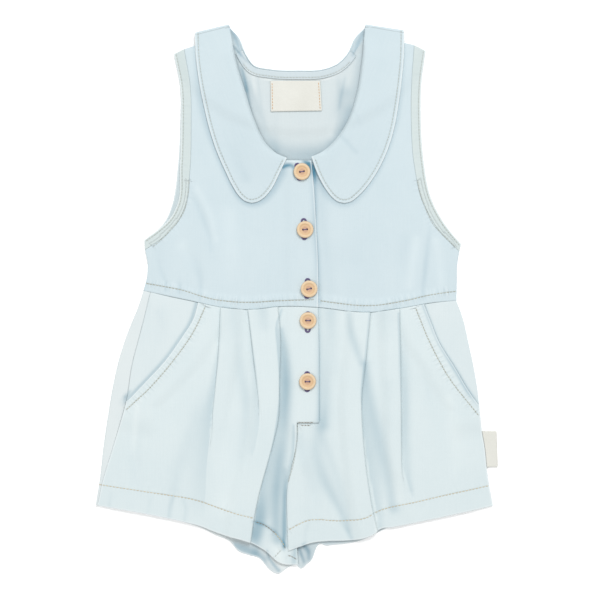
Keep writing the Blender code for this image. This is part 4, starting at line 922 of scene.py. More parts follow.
CREASES = [
    shaded("shorts", -1, 0, (FAINT, DEEP, SOFT),
        (-68, -12.2, 1.8), (-69.8, -41.9, 2.7), (-73.4, -73.4, 7.2), (-77, -100.4, 9.9),
        (-79.7, -127.4, 16.2), (-82.4, -154.3, 23.4), (-83.2, -176.8, 25.2),
    ),
    shaded("shorts", -1, 0, (NONE, PLAIN, SOFT),
        (-43.6, -10.3, 1.8), (-41, -37.4, 4.5), (-37.4, -64.4, 7.2), (-35.6, -84.2, 9),
        (-34.6, -109.4, 9), (-39.1, -136.3, 9),
    ),
    shaded("shorts", 1, 0, (DEEP, DEEP, DEEP, DARKEST),
        (-14.8, -10.3, 2.7), (-19.4, -23.9, 5.4), (-18.4, -41.9, 8.1), (-16.7, -64.4, 9),
        (-16.7, -91.4, 10.8), (-20.2, -118.4, 12.6), (-24.8, -140.8, 14.4), (-31.1, -163.3, 16.2),
        (-35.6, -185.8, 16.2), (-41, -212.8, 12.6),
    ),
    shaded("shorts", -1, 0, (DEEP, DEEP, DARK),
        (-3.1, -113.9, 2.7), (-3.1, -127.4, 3.6), (-4, -140.8, 3.6), (-6.8, -154.3, 4),
        (-9.5, -167.8, 4.5), (-10.3, -194.8, 5), (-11.2, -224.6, 4.5),
    ),
    shaded("shorts", 0, -0.4, (NONE, PLAIN, DEEP),
        (23.9, -23.9, 5.4), (24.8, -64.4, 7.2), (24.8, -91.4, 7.2), (23.9, -113.9, 7.2),
    ),
    shaded("shorts", 0, -0.7, (SOFT, DEEP, PLAIN),
        (20.2, -113.9, 7.2), (16.7, -136.3, 8.1), (22.1, -158.8, 8.1), (31.1, -176.8, 7.2),
        (39.1, -192.2, 5.4), (43.6, -203.8, 3.6), (49.1, -217.3, 2.7),
    ),
    shaded("shorts", 1, 0, (PLAIN, DEEP, PLAIN),
        (64.4, -13.1, 1.8), (61.6, -41.9, 2.7), (59, -64.4, 5.4), (57.1, -86.9, 9),
        (59, -113.9, 14.4), (62.6, -140.8, 16.2), (66.2, -163.3, 14.4), (70.7, -185.8, 9),
        (72.5, -209.2, 8.1),
    ),
    shaded("shorts", 1, 0, (DEEP, SOFT, SOFT),
        (90.5, -13.1, 1.4), (91.4, -41.9, 2.7), (92.2, -73.4, 6.3), (93.2, -95.9, 9),
        (93.2, -127.4, 9), (95, -149.8, 7.2), (100.4, -167.8, 5.4), (103, -176.8, 3.6),
    ),
    shaded("shorts", 0, -0.4, (PLAIN, DEEP, PLAIN),
        (46.4, -14.8, 4), (48.1, -30.2, 5), (52.6, -44.6, 5), (57.1, -57.1, 4),
    ),
    shaded("shorts", 0, -0.3, (NONE, FAINT, NONE),
        (-135.5, 7.7, 2.7), (-133.7, -5.9, 2.7), (-137.2, -23.9, 3.6),
    ),
    shaded("shorts", 0, -0.4, (NONE, FAINT, NONE),
        (-139.1, -109.4, 4.5), (-143.6, -127.4, 6.3), (-147.2, -147.2, 6.3), (-144.5, -165.2, 5.4),
        (-142.7, -181.3, 4.5),
    ),
    shaded("shorts", 0, -0.3, (FAINT, NONE),
        (-125.5, -12.2, 5.4), (-121, -28.4, 6.3), (-127.4, -48.1, 6.3),
    ),
    shaded("shorts", 0, -0.3, (NONE, FAINT, NONE),
        (113, -66.2, 3.6), (116.5, -80.5, 3.6), (120.2, -98.5, 3.6),
    ),
    shaded("shorts", 0, -0.4, (PALE, NONE),
        (136.3, -91.4, 7.2), (140.8, -118.4, 8.1), (142.7, -147.2, 7.2), (139.1, -165.2, 5.4),
    ),
    shaded("shorts", 0, 0.6, (FAINT, NONE, BRIGHT),
        (81.5, -77.9, 7.2), (82.4, -118.4, 8.1), (85, -154.3, 7.2), (90.5, -181.3, 6.3),
    ),
    shaded("shorts", 0, 0.5, (NONE, PALE),
        (-65.2, -127.4, 12.6), (-68, -158.8, 14.4), (-66.2, -185.8, 12.6),
    ),
    shaded("shorts", 0, -0.3, (NONE, SOFT),
        (-167, -170.6, 2.2), (-168.8, -179.6, 2.2), (-169.7, -186.8, 2.2),
    ),
    shaded("shorts", 0, -0.3, (FAINT,),
        (-131, -177.8, 2.2), (-133.7, -186.8, 2.2), (-134.6, -193.1, 2.2),
    ),
    shaded("shorts", 0, -0.3, (PLAIN,),
        (-112, -178.7, 2.7), (-114.8, -188.6, 2.7), (-115.7, -197.6, 2.2),
    ),
    shaded("shorts", 0, -0.3, (SOFT,),
        (-103, -181.3, 2.2), (-100.4, -190.3, 2.2), (-102.2, -201.2, 2.2),
    ),
    shaded("shorts", 0, -0.3, (SOFT, FAINT),
        (39.1, -201.2, 2.2), (43.6, -208.3, 2.7), (49.1, -217.3, 2.2),
    ),
    shaded("shorts", 0, -0.3, (NONE, BRIGHT, BRIGHT),
        (72.5, -188.6, 2.2), (71.5, -197.6, 2.7), (71.5, -208.3, 2.2),
    ),
    shaded("shorts", 0, -0.3, (FAINT,),
        (9.5, -201.2, 2.7), (7.7, -210.2, 2.7), (6.8, -220.1, 2.7),
    ),
    shaded("shorts", 0, -0.3, (NONE,),
        (110.2, -179.6, 2.7), (112, -188.6, 2.7), (111.2, -197.6, 2.2),
    ),
    shaded("bodice", 0, -0.5, (FAINT, SOFT, FAINT),
        (-96.8, 97.7, 2.7), (-89.5, 81.5, 3.6), (-84.2, 68.9, 3.6), (-79.7, 54.5, 2.7),
        (-77.9, 43.6, 2.7),
    ),
    shaded("bodice", 0, 0.4, (PALE,),
        (-90.5, 99.5, 3.6), (-82.4, 83.2, 4.5), (-77, 68.9, 4.5), (-73.4, 52.6, 3.6),
    ),
    shaded("bodice", 0, -0.4, (NONE, FAINT, SOFT),
        (-125.5, 49.1, 2.7), (-125.5, 34.6, 2.7), (-122.9, 23.9, 2.7), (-118.4, 14, 2.2),
        (-117.5, 7.7, 1.8),
    ),
    shaded("bodice", 0, -0.5, (PALE, SOFT, SOFT),
        (-104, 47.2, 6.3), (-95, 36.5, 7.2), (-89.5, 25.7, 5.4), (-87.3, 14.8, 3.1),
        (-87.8, -1.4, 1.8),
    ),
    shaded("bodice", 0, -0.5, (FAINT, PLAIN, SOFT),
        (119.2, 63.5, 2.7), (117.5, 50, 3.1), (115.7, 32.9, 3.1), (113.9, 16.7, 3.1),
        (112, 0.5, 2.7),
    ),
    shaded("bodice", 0, -0.4, (FAINT, NONE),
        (96.8, 52.6, 7.2), (94, 32.9, 8.1), (92.2, 9.5, 7.2),
    ),
    shaded("bodice", 0, 0.4, (PALE,),
        (106.7, 52.6, 5.4), (104, 32.9, 5.4), (101.2, 12.2, 5.4),
    ),
    shaded("bodice", 0, -0.4, (PALE,),
        (124.7, 52.6, 4.5), (128.2, 32.9, 6.3), (129.2, 13.1, 5.4),
    ),
    shaded("bodice", 0, -0.3, (FAINT, SOFT),
        (-106.7, 14.8, 2.7), (-104.9, 9.5, 2.7), (-104.9, 5, 2.2),
    ),
    shaded("bodice", 0, -0.3, (SOFT, FAINT),
        (23.9, 104.9, 7.2), (22.1, 88.7, 7.2), (22.9, 66.2, 7.2), (26.6, 32.9, 9),
        (29.2, 7.7, 8.1),
    ),
    shaded("bodice", 0, -0.4, (NONE,),
        (-31.9, 75.2, 12.6), (-30.2, 52.6, 14.4), (-31.9, 21.2, 14.4),
    ),
    shaded("bodice", 0, -0.4, (NONE,),
        (42.8, 52.6, 12.6), (47.2, 32.9, 14.4), (43.6, 7.7, 10.8),
    ),
    shaded("bodice", 0, 0.4, (PALE, PALE, NONE),
        (-62.6, 75.2, 10.8), (-60.8, 48.1, 12.6), (-59, 12.2, 10.8),
    ),
    shaded("bodice", -1, 0, (FAINT, DEEP, DEEP, DARK),
        (-93.5, 239, 3), (-92.2, 223, 4), (-88, 192, 5), (-79.8, 154.4, 8), (-65, 114.7, 8),
        (-58.3, 101.1, 7), (-51.8, 91.5, 6), (-46.8, 87.6, 5), (-41.3, 86, 5), (-36, 87.1, 6),
        (-30.4, 90.4, 7), (-24, 97.4, 8), (-15.3, 113.8, 9),
    ),
    shaded("bodice", 1, 0, (FAINT, PLAIN, PLAIN, DEEP),
        (96.5, 241, 3), (96, 223, 3), (93.2, 192, 4), (86.8, 152.4, 5), (70.2, 111.6, 5),
        (61, 98.8, 5), (54.6, 92.2, 4.5), (48.2, 87.3, 4.5), (42.2, 85.8, 5), (36.6, 87.1, 6),
        (31.5, 90.8, 7), (26.3, 97, 8), (17.4, 113, 9),
    ),
    shaded("inside", 1, 0, (SOFT, DEEP, SOFT),
        (-61.5, 246.4, 6), (-55.5, 214.5, 8), (-47.5, 187.5, 10), (-38.5, 160, 10), (-27, 138, 9),
    ),
    shaded("inside", -1, 0, (PLAIN, DEEP, PLAIN),
        (61, 246.4, 6), (57.5, 210, 9), (53, 183, 11), (44.5, 158.5, 12), (31.5, 140, 10),
    ),
    shaded("inside", 0, -0.4, (NONE, FAINT, PLAIN),
        (-20.2, 169.7, 5), (-21.2, 151.7, 5), (-19.4, 133.7, 5),
    ),
    shaded("inside", 0, -0.5, (DEEP, SOFT, PALE),
        (42.8, 185.8, 7), (36.5, 165.2, 8), (29.2, 142.7, 7),
    ),
    shaded("bodice", 0, 0, (PLAIN, PLAIN, PLAIN, SOFT),
        (15.3, 117, 2.4), (15.6, 100, 2.4), (15.8, 80, 2.4), (15.8, 61, 2.4), (17.6, 43, 2.4),
        (18.4, 27, 2.4), (19.4, 7, 2.4), (19.6, -3, 2.2),
    ),
    shaded("bodice", 1, 0, (PLAIN, PLAIN, SOFT),
        (15.3, 117, 6), (15.8, 80, 5), (15.8, 61, 5), (18.4, 27, 6), (19.6, -3, 6),
    ),
    shaded("bodice", -1, 0, (PLAIN, SOFT, SOFT),
        (15.3, 117, 9), (15.8, 80, 7), (15.8, 61, 7), (18.4, 27, 7), (19.6, -3, 6),
    ),
    shaded("shorts", 0, 0, (FAINT, PLAIN, PLAIN),
        (19.5, -4, 2), (19.5, -40, 2), (19.5, -80, 2), (19.5, -109, 2),
    ),
    shaded("shorts", 1, 0, (SOFT, FAINT),
        (19.5, -4, 6), (19.5, -60, 6), (19.5, -109, 6),
    ),
    shaded("shorts", -1, 0, (FAINT, SOFT),
        (19.5, -4, 6), (19.5, -60, 6), (19.5, -109, 6),
    ),
    shaded("shorts", 0, -0.5, (PALE, SOFT, SOFT),
        (-72.5, -41.9, 5.4), (-75.2, -66.2, 7.2), (-82.4, -89.5, 8.1), (-91.4, -113, 9),
        (-100.4, -134.6, 9), (-107.5, -154.3, 9), (-111.2, -172.3, 7.2),
    ),
    shaded("shorts", 0, -0.4, (FAINT, PLAIN, FAINT),
        (-53.6, -41.9, 5.4), (-50.9, -64.4, 6.3), (-46.4, -91.4, 6.3), (-46.4, -113.9, 6.3),
        (-50.9, -140.8, 6.3),
    ),
    shaded("shorts", 0, -0.3, (DEEP, DARKEST, DEEP, DARKEST, DARK),
        (-14.8, -28.4, 3.6), (-11.2, -50.9, 5.4), (-9.5, -77.9, 6.3), (-10.3, -100.4, 6.3),
        (-12.2, -127.4, 6.3), (-15.8, -149.8, 7.2), (-18.4, -172.3, 7.2), (-19.4, -194.8, 7.2),
        (-18.4, -217.3, 6.3),
    ),
    shaded("shorts", 0, -0.3, (PALE, PALE, NONE),
        (-143.6, -93.2, 2.7), (-146.2, -118.4, 3.1), (-147.2, -136.3, 3.1), (-144.5, -152.6, 3.1),
        (-140.8, -167.8, 2.7),
    ),
    shaded("shorts", 0, -0.4, (DEEP,),
        (60.8, -59.9, 5.4), (64.4, -86.9, 6.3), (70.7, -113.9, 7.2), (77, -140.8, 7.2),
        (82.4, -163.3, 7.2), (86.9, -188.6, 6.3),
    ),
    shaded("shorts", 0, -0.3, (NONE, PLAIN, PLAIN, SOFT),
        (94, -23.9, 3.6), (96.8, -59.9, 5.4), (97.7, -91.4, 5.4), (97.7, -122.9, 5.4),
        (99.5, -149.8, 4.5), (102.2, -172.3, 3.6),
    ),
    shaded("shorts", 0, -0.4, (SOFT,),
        (19.4, -116.5, 5.4), (26.6, -136.3, 5.4), (34.6, -158.8, 5.4), (42.8, -185.8, 4.5),
        (47.2, -208.3, 3.6),
    ),
    shaded("shorts", 0, -0.3, (SOFT, SOFT, NONE),
        (1.4, -125.5, 6.3), (6.8, -149.8, 7.2), (14.8, -172.3, 7.2), (22.1, -190.3, 6.3),
    ),
    shaded("shorts", 0, -0.3, (PLAIN, SOFT),
        (-31.9, -8.6, 7.2), (-30.2, -23.9, 7.2),
    ),
    shaded("shorts", 0, -0.3, (PLAIN, SOFT, FAINT),
        (29.2, -13.1, 8.1), (31.1, -37.4, 8.1), (33.8, -64.4, 7.2),
    ),
    shaded("shorts", 0, -0.3, (SOFT, FAINT),
        (77.9, -12.2, 7.2), (77.9, -32.9, 7.2),
    ),
    shaded("shorts", 0, -0.3, (SOFT, FAINT),
        (-57.1, -12.2, 7.2), (-56.2, -32.9, 7.2),
    ),
    shaded("inside", 0, 0, (FAINT, DEEP, DARK, DEEP, PLAIN),
        (-38.2, 156.2, 7.2), (-29.2, 141.8, 9), (-18.4, 134.6, 10.8), (-6.8, 130.1, 11.7),
        (5, 129.2, 11.7), (18.4, 131, 10.8), (31.9, 139.1, 9.9), (41.9, 153.5, 8.1),
        (46.4, 169.7, 6.3),
    ),
    shaded("inside", 0, 0, (SOFT, PLAIN, NONE),
        (-42.8, 194.8, 2.7), (-39.1, 183.2, 3.6), (-33.8, 167.8, 3.6), (-28.4, 153.5, 3.6),
    ),
    shaded("inside", 0, 0, (SOFT, NONE, BRIGHT),
        (38.2, 194.8, 4.5), (36.5, 178.7, 4.5), (35.6, 162.5, 4.5), (31.1, 147.2, 4.5),
    ),
    shaded("inside", 0, 0, (FAINT, PLAIN, DEEP),
        (-55.4, 214.7, 4.5), (-50, 201.2, 3.6), (-46.4, 187.7, 3.6),
    ),
    shaded("collar", 0, -0.2, (NONE,),
        (-41.9, 139.1, 2.2), (-31.9, 137.2, 2.2), (-22.1, 136.3, 2.2),
    ),
    shaded("collar", 0, -0.2, (NONE, FAINT),
        (44.6, 171.5, 2.7), (50.9, 167, 2.7), (56.2, 157.1, 2.7),
    ),
    shaded("collar", 0, -0.2, (SOFT,),
        (40.1, 145.3, 2.7), (46.4, 138.2, 2.7), (52.6, 131.8, 2.7),
    ),
    shaded("collar", 0, -0.3, (NONE, SOFT),
        (-65.2, 142.7, 7.2), (-55.4, 124.7, 7.2), (-46.4, 108.5, 6.3),
    ),
    shaded("inside", 0, 0, (NONE, SOFT, PLAIN, FAINT),
        (-105.8, 142.7, 3.6), (-105.8, 124.7, 3.6), (-107.5, 106.7, 4.5), (-111.2, 88.7, 5.4),
        (-116.5, 77, 6.3), (-125.5, 64.4, 6.3), (-136.3, 54.5, 5.4),
    ),
    shaded("shorts", 0, -0.3, (DEEP, DARK, PLAIN),
        (-55.4, -221.8, 5.4), (-46.4, -229.1, 6.3), (-35.6, -236.2, 6.3), (-26.6, -244.3, 5.4),
        (-19.4, -249.8, 4.5),
    ),
    Crease("shorts", 0, 0, [
        At(-90.8, -3.7, 2.2, 0.3), At(-96.6, -21.4, 2.2, 0.32), At(-107, -37.2, 2.2, 0.28),
        At(-118, -52.7, 2.2, 0.28), At(-129.2, -65.5, 2.2, 0.28), At(-142.3, -79.3, 2.2, 0.3),
        At(-155.4, -93.1, 2.2, 0.25),
    ]),
    Crease("shorts", 0, 0, [
        At(113.5, -6.2, 2, 0.34), At(120.1, -22.8, 2, 0.34), At(126.9, -39.4, 2, 0.3),
        At(136.1, -54.7, 2, 0.34), At(144.6, -68.4, 2.4, 0.4), At(153.7, -83.8, 2.4, 0.42),
        At(161, -93.3, 2.6, 0.4), At(164.2, -98.3, 2, 0.1),
    ]),
    Crease("bodice", 0, -0.3, [
        At(-13.1, 118.4, 2.4, 0.75), At(-9.5, 119.7, 2.6, 0.8), At(-5.9, 119.7, 2.4, 0.6),
        At(-3.1, 117, 2, 0.45), At(-3.1, 112, 1.6, 0.35), At(-1.8, 107.5, 1.4, 0.2),
    ]),
    Crease("bodice", 0, 0, [
        At(5, 123.8, 1.6, 0.5), At(8.6, 122, 3, 1), At(12.2, 119.2, 3.2, 1),
        At(14, 113.9, 2.8, 0.4), At(15.8, 104.9, 2.4, 0.1),
    ]),
    Crease("bodice", 0, 0.4, [
        At(-8.6, 123.8, 1.6, -0.12), At(-1.4, 123.3, 1.6, -0.15), At(5, 123.8, 1.2, -0.1),
    ]),
    Crease("shorts", 0, -0.2, [
        At(-158.8, -91.4, 1.6, 0.3), At(-154.3, -87.8, 2, 0.4), At(-150.8, -83.2, 1.6, 0.2),
    ]),
    Crease("shorts", 0, -0.3, [
        At(-31.1, -181.3, 6, 0.06), At(-31.9, -199.3, 6.5, 0.2), At(-35.6, -217.3, 6.5, 0.22),
        At(-37.4, -228.2, 5, 0.15),
    ]),
    Crease("shorts", 0, -0.4, [
        At(-55.4, -222.8, 4.5, 0.24), At(-44.6, -225.5, 5.5, 0.3), At(-35.6, -230, 5.5, 0.32),
        At(-29.2, -234.5, 4.5, 0.28),
    ]),
    Crease("shorts", 0, 0.5, [
        At(-21.2, -221.8, 4.5, -0.08), At(-16.7, -231.8, 5.5, -0.12), At(-14, -240.8, 4.5, -0.1),
    ]),
    Crease("shorts", 0, -0.5, [
        At(-27.4, -227.2, 1.6, 0.28), At(-25.7, -233.6, 1.8, 0.34), At(-22.1, -239, 2.2, 0.42),
        At(-16.7, -245.2, 2.2, 0.42),
    ]),
    Crease("shorts", 0, -0.4, [
        At(1.4, -223.7, 1.6, 0.3), At(3.1, -230, 2, 0.45), At(5.9, -237.2, 1.8, 0.35),
    ]),
    Crease("shorts", 0, -0.5, [
        At(5.9, -222.8, 3, 0.55), At(9.5, -227.2, 3, 0.5), At(10.3, -234.5, 2.6, 0.3),
    ]),
    Crease("shorts", 0, 0.5, [
        At(1.4, -233.6, 2, -0.1), At(3.1, -240.8, 2, -0.08),
    ]),
    Crease("shorts", 0, -0.3, [
        At(-40.1, -200.7, 1.8, 0.22), At(-30.2, -203.8, 2, 0.25), At(-21.2, -209.2, 2, 0.22),
        At(-15.8, -215.6, 1.8, 0.18), At(-11.2, -222.8, 2, 0.35),
    ]),
    Crease("inside", 0, 0, [
        At(-60.8, 242.6, 2.4, 0.5), At(-57.1, 235.3, 2.6, 0.5), At(-54.5, 227.2, 2.2, 0.34),
        At(-50.9, 219.2, 2, 0.14),
    ]),
    Crease("inside", 0, -0.2, [
        At(-58.1, 227.2, 1.3, 0.3), At(-51.8, 220.1, 1.3, 0.26), At(-45.5, 213.8, 1.3, 0.2),
        At(-37.4, 207.5, 1.2, 0.1),
    ]),
    Crease("inside", 0, 0, [
        At(57.1, 239, 2.6, 0.4), At(53.6, 229.1, 2.6, 0.36), At(50, 219.2, 2.2, 0.22),
    ]),
    Crease("inside", 0, -0.3, [
        At(-50, 207.5, 1.6, 0.2), At(-47.2, 196.7, 2, 0.28), At(-44.6, 183.2, 2, 0.24),
        At(-42.8, 169.7, 2.4, 0.12), At(-38.2, 153.5, 2.6, 0.05),
    ]),
    Crease("inside", 0, -0.3, [
        At(-31.9, 167.8, 3, 0.03), At(-28.4, 153.5, 3.4, 0.06), At(-22.9, 140.8, 3, 0.03),
    ]),
    Crease("inside", 0, -0.3, [
        At(36.5, 194.8, 3, 0.04), At(38.2, 171.5, 3.4, 0.07), At(32.9, 149.8, 3, 0.04),
    ]),
    Crease("shorts", 0, -0.1, [
        At(23.9, -96.8, 4, 0.02), At(23.9, -107.5, 4.5, 0.06), At(22.1, -117.5, 4, 0.02),
    ]),
    Crease("inside", 0, 0.4, [
        At(-40.1, 200.2, 2, -0.06), At(-39.1, 187.7, 2.4, -0.08), At(-37.4, 175.1, 2.2, -0.04),
    ]),
    Crease("inside", 0, -0.3, [
        At(-35.6, 200.2, 1.4, 0.06), At(-34.6, 185.8, 1.8, 0.08), At(-31.9, 169.7, 1.8, 0.05),
    ]),
    Crease("inside", 0, -0.3, [
        At(42.8, 198.5, 1.8, 0.1), At(40.1, 185.8, 2, 0.14), At(37.4, 171.5, 2, 0.08),
    ]),
    Crease("inside", 0, 0, [
        At(-51.8, 211.1, 1.2, -0.1), At(-42.8, 203, 1.2, -0.2), At(-31.9, 198.9, 1.2, -0.22),
        At(2.2, 197.1, 1.2, -0.22), At(29.2, 198.9, 1.2, -0.2), At(41, 205.7, 1.2, -0.12),
    ]),
    Crease("shorts", 0, -0.2, [
        At(-11.2, -154.3, 3, 0.12), At(-11.7, -181.3, 3, 0.26), At(-12.2, -208.3, 3, 0.3),
        At(-11.7, -222.8, 2.5, 0.3),
    ]),
    Crease("shorts", 0, -0.3, [
        At(-2.2, -225.5, 2.6, 0.24), At(-3.1, -232.7, 3, 0.3), At(-3.1, -239.8, 2.6, 0.2),
    ]),
    Crease("collar", 0, 0, [
        At(-59.9, 243.5, 2.2, 0.3), At(-56.2, 235.3, 2.6, 0.4), At(-53.6, 228.2, 2.2, 0.3),
        At(-50.9, 220.1, 2, 0.1),
    ]),
    Crease("collar", 0, 0, [
        At(59, 239.8, 2.4, 0.3), At(54.5, 230, 2.8, 0.36), At(50.9, 221, 2.4, 0.25),
        At(46.4, 214.7, 2, 0.08),
    ]),
]

# Rows of stitches: thread, length of a stitch and of the space after it, how much the cloth puckers
# along the row, and the row's course.
Row = namedtuple("Row", "thread stitch space pucker points")
ROWS = [
    Row("olive", 2.6, 0.35, 1.8, [
        (-137.5, 13.8), (-106, 8), (-74, -1), (-47, -3.5), (-16, -2), (16, -1),
    ]),
    Row("olive", 2.6, 0.35, 1.8, [
        (20, -2), (38, -4.5), (62.5, -6.5), (97, -2), (121, 3.5), (143, 6.5),
    ]),
    Row("olive", 2.4, 0.4, 1.5, [
        (-82.5, -6.5), (-93, -29), (-111, -55), (-131, -78.5), (-155, -101),
    ]),
    Row("olive", 2.4, 0.4, 1.5, [
        (106, -8), (119, -39.5), (134.5, -68.5), (163.5, -106),
    ]),
    Row("tan", 2.4, 0.7, 0.6, [
        (-179, -167.5), (-133, -174.5), (-88, -182.5), (-62.5, -191.5), (-40, -197.5),
    ]),
    # Where the hem runs into the deep fold's shadow and the hollow below it, its tan stitches are drawn in
    # dark brown: painted shade.
    Row("brown_and_shaded_tan", 2.4, 0.4, 0.3, [(-40, -200.3), (-32, -203), (-24, -207.9), (-20.5, -211)]),
    Row("tan", 2.4, 0.4, 0.3, [(-20.5, -211), (-15, -217.5), (-12, -222.2)]),
    Row("brown_and_shaded_tan", 2.4, 0.4, 0.3, [(-12, -222.2), (-10.8, -225.4)]),
    Row("grey", 2.2, 0.5, 0.3, [(-22.5, -234.5), (-18.5, -230.4), (-14.8, -226.4)]),
    Row("brown_and_shaded_tan", 2.2, 0.4, 0.3, [(-9.5, -231), (-4, -232.8), (-0.5, -235.4)]),
    Row("tan", 2.4, 0.7, 0.6, [
        (-8, -208), (7, -200.5), (43, -200), (62, -197), (70.5, -192.5), (110, -182.5),
        (172.5, -168.5),
    ]),
    Row("grey", 2.2, 0.6, 0.7, [
        (-97.7, 106.7), (-98.1, 97.7), (-99.5, 88.7), (-101.2, 81.5), (-104.9, 73.4),
        (-107.5, 69.8), (-114.8, 61.6), (-121, 54.5), (-123.8, 51.8), (-131, 46.4),
    ]),
    Row("grey", 2.2, 0.6, 0.7, [
        (108, 106.7), (110.2, 95.9), (113.4, 86), (117.5, 76), (121.5, 68), (128.2, 59.9),
        (135.5, 53.1), (141.8, 46.4),
    ]),
    Row("grey", 2.2, 0.6, 0.3, [
        (0, -112), (-0.5, -127.4), (-3.1, -145.3), (-8.6, -166.1),
    ]),
    Row("brown_and_shaded_tan", 2.2, 0.5, 0.2, [
        (-0.5, -111.6), (14.8, -111.6),
    ]),
    Row("brown_and_shaded_tan", 2.2, 0.5, 0.2, [
        (2.2, -114.3), (12.2, -114.3),
    ]),
]

# Purple buttonhole ends that show above and below each button.
BUTTONHOLES = [
    ((-1.8, 121.5), (0.9, 106.0)), ((5.2, 72.3), (5.9, 52.5)), ((8.7, 18.4), (7.7, -0.3)),
    ((9.3, -11.5), (9.1, -30.9)), ((8.6, -65.3), (8.6, -84.2)),
]

# Shown cloth.
SHELL = 1.0  # thickness
RIM = ((0.0, 0.4), (0.35, 0.8), (0.8, 1.0))  # distance from a rim, and the share of the thickness
LOWEST = 0.03  # nothing goes below this height
SEAM_REACH = 12.0  # how far from a row of stitches the cloth can pucker
# Near a row, the material darkens the groove with painted shade as well as sinking it.
LINE_REACH = 2.4  # and how far the groove that they lie in can reach
FAR = 99.0
TURNED = math.radians(24.0)  # angle of the grain in each half of the collar

# How each cloth piece is shown: its group of creases, its material, how its colour differs from the
# shorts' (partly painted shade), the angle of its grain, the rims that are worn pale, and what it
# lies on.
Look = namedtuple("Look", "group material grain worn on")
# Colour of each piece: partly its own, partly painted shade, which makes the bodice, collar, inside and
# back leg darker where less light reaches them.
PIECE_COLOURS_AND_SHADE = {
    "back_bodice": (0.85, 0.87, 0.87),
    "front_bodice_right": (0.85, 0.89, 0.91),
    "front_bodice_left": (0.85, 0.89, 0.91),
    "armhole_band_front_right": (0.86, 0.87, 0.84),
    "armhole_band_front_left": (0.86, 0.87, 0.84),
    "armhole_band_back_right": (0.82, 0.85, 0.85),
    "armhole_band_back_left": (0.82, 0.85, 0.85),
    "collar": (0.84, 0.88, 0.9),
    "neck_tape": (0.8, 0.84, 0.86),
    "shorts_front_right": (0.95, 0.96, 0.95),
    "shorts_front_left": (0.95, 0.96, 0.95),
    "shorts_back_right": (0.95, 0.95, 0.94),
    "shorts_back_left": (0.75, 0.8, 0.82),
    "pocket_side_right": (0.95, 0.95, 0.94),
    "pocket_side_left": (0.95, 0.95, 0.94),
}
LOOKS = {
    "back_bodice": Look("inside", "inside", 0.0, "", []),
    "front_bodice_right": Look(
        "bodice", "denim", 0.0, "right", ["back_bodice", "front_bodice_left"]
    ),
    "front_bodice_left": Look("bodice", "denim", 0.0, "", ["back_bodice"]),
    "armhole_band_front_right": Look(
        "bodice", "denim", 0.7, "left", ["armhole_band_back_right"]
    ),
    "armhole_band_front_left": Look(
        "bodice", "denim", -0.7, "left", ["armhole_band_back_left"]
    ),
    "armhole_band_back_right": Look("inside", "inside", 0.7, "left", []),
    "armhole_band_back_left": Look("inside", "inside", -0.7, "left", []),
    "collar": Look(
        "collar", "denim", 0.4, "right top bottom",
        ["front_bodice_right", "front_bodice_left", "back_bodice"],
    ),
    "neck_tape": Look("inside", "inside", 0.7, "", ["back_bodice"]),
    "neck_label": Look("inside", "label", 0.0, "", ["back_bodice"]),
    "shorts_front_right": Look(
        "shorts", "denim", 0.0, "left bottom",
        ["shorts_back_right", "pocket_side_right", "shorts_front_left"],
    ),
    "shorts_front_left": Look(
        "shorts", "denim", 0.0, "right bottom",
        ["shorts_back_left", "pocket_side_left"],
    ),
    "shorts_back_right": Look("shorts", "inside", 0.0, "bottom", []),
    "shorts_back_left": Look("shorts", "inside", 0.0, "bottom", []),
    "pocket_side_right": Look("shorts", "denim", 0.0, "", ["shorts_back_right"]),
    "pocket_side_left": Look("shorts", "denim", 0.0, "", ["shorts_back_left"]),
    "side_label": Look("label", "label", 0.0, "", []),
}
# How much of a shade's darkening each of red, green and blue gets.
SHADE = np.array([1.0, 0.76, 0.62])


def middle_surfaces():
    """Grid of points through the middle of each cloth piece."""
    made = {}

    def flat(name, plan, height):
        made[name] = np.dstack([plan, height(plan[..., 0], plan[..., 1])])

    flat("back_bodice", back_bodice(), back_bodice_z)
    flat("front_bodice_right", right_front_bodice(), right_bodice_z)
    flat("front_bodice_left", left_front_bodice(), left_bodice_z)
    for side, armhole, outward in (("right", ARMHOLE_RIGHT, 1), ("left", ARMHOLE_LEFT, -1)):
        flat(f"armhole_band_front_{side}", armhole_band(armhole, 0.0, outward), left_bodice_z)
        flat(f"armhole_band_back_{side}", armhole_band(armhole, 1.0, outward), back_bodice_z)
    made["collar"] = collar()
    flat("neck_tape", neck_tape(), on_back_z)
    flat("neck_label", rectangle(NECK_LABEL, *NECK_LABEL_GRID), on_back_z)
    made["shorts_front_right"] = right_front_leg()
    made["shorts_front_left"] = left_front_leg()
    made["shorts_back_right"] = right_back_leg()
    made["shorts_back_left"] = left_back_leg()
    made["pocket_side_right"] = pocket_side(POCKET_RIGHT, SEAM_RIGHT, FRONT_HEM_RIGHT, 1)
    made["pocket_side_left"] = pocket_side(POCKET_LEFT, HIP_LEFT, FRONT_HEM_LEFT, -1)
    made["side_label"] = side_label()
    return made


def with_rims(points):
    """The grid with two more rows or columns close inside each of its borders."""
    for axis in (0, 1):
        lines = np.swapaxes(points, 0, axis)
        for _ in range(2):
            run = np.linalg.norm(lines[1] - lines[0], axis=-1).mean()
            shares = [min(RIM[1][0] / run, 0.35), min(RIM[2][0] / run, 0.7)]
            extra = [lines[0] + share * (lines[1] - lines[0]) for share in shares]
            lines = np.concatenate([lines[:1], extra, lines[1:]])[::-1]
        points = np.swapaxes(lines, 0, axis)
    return points


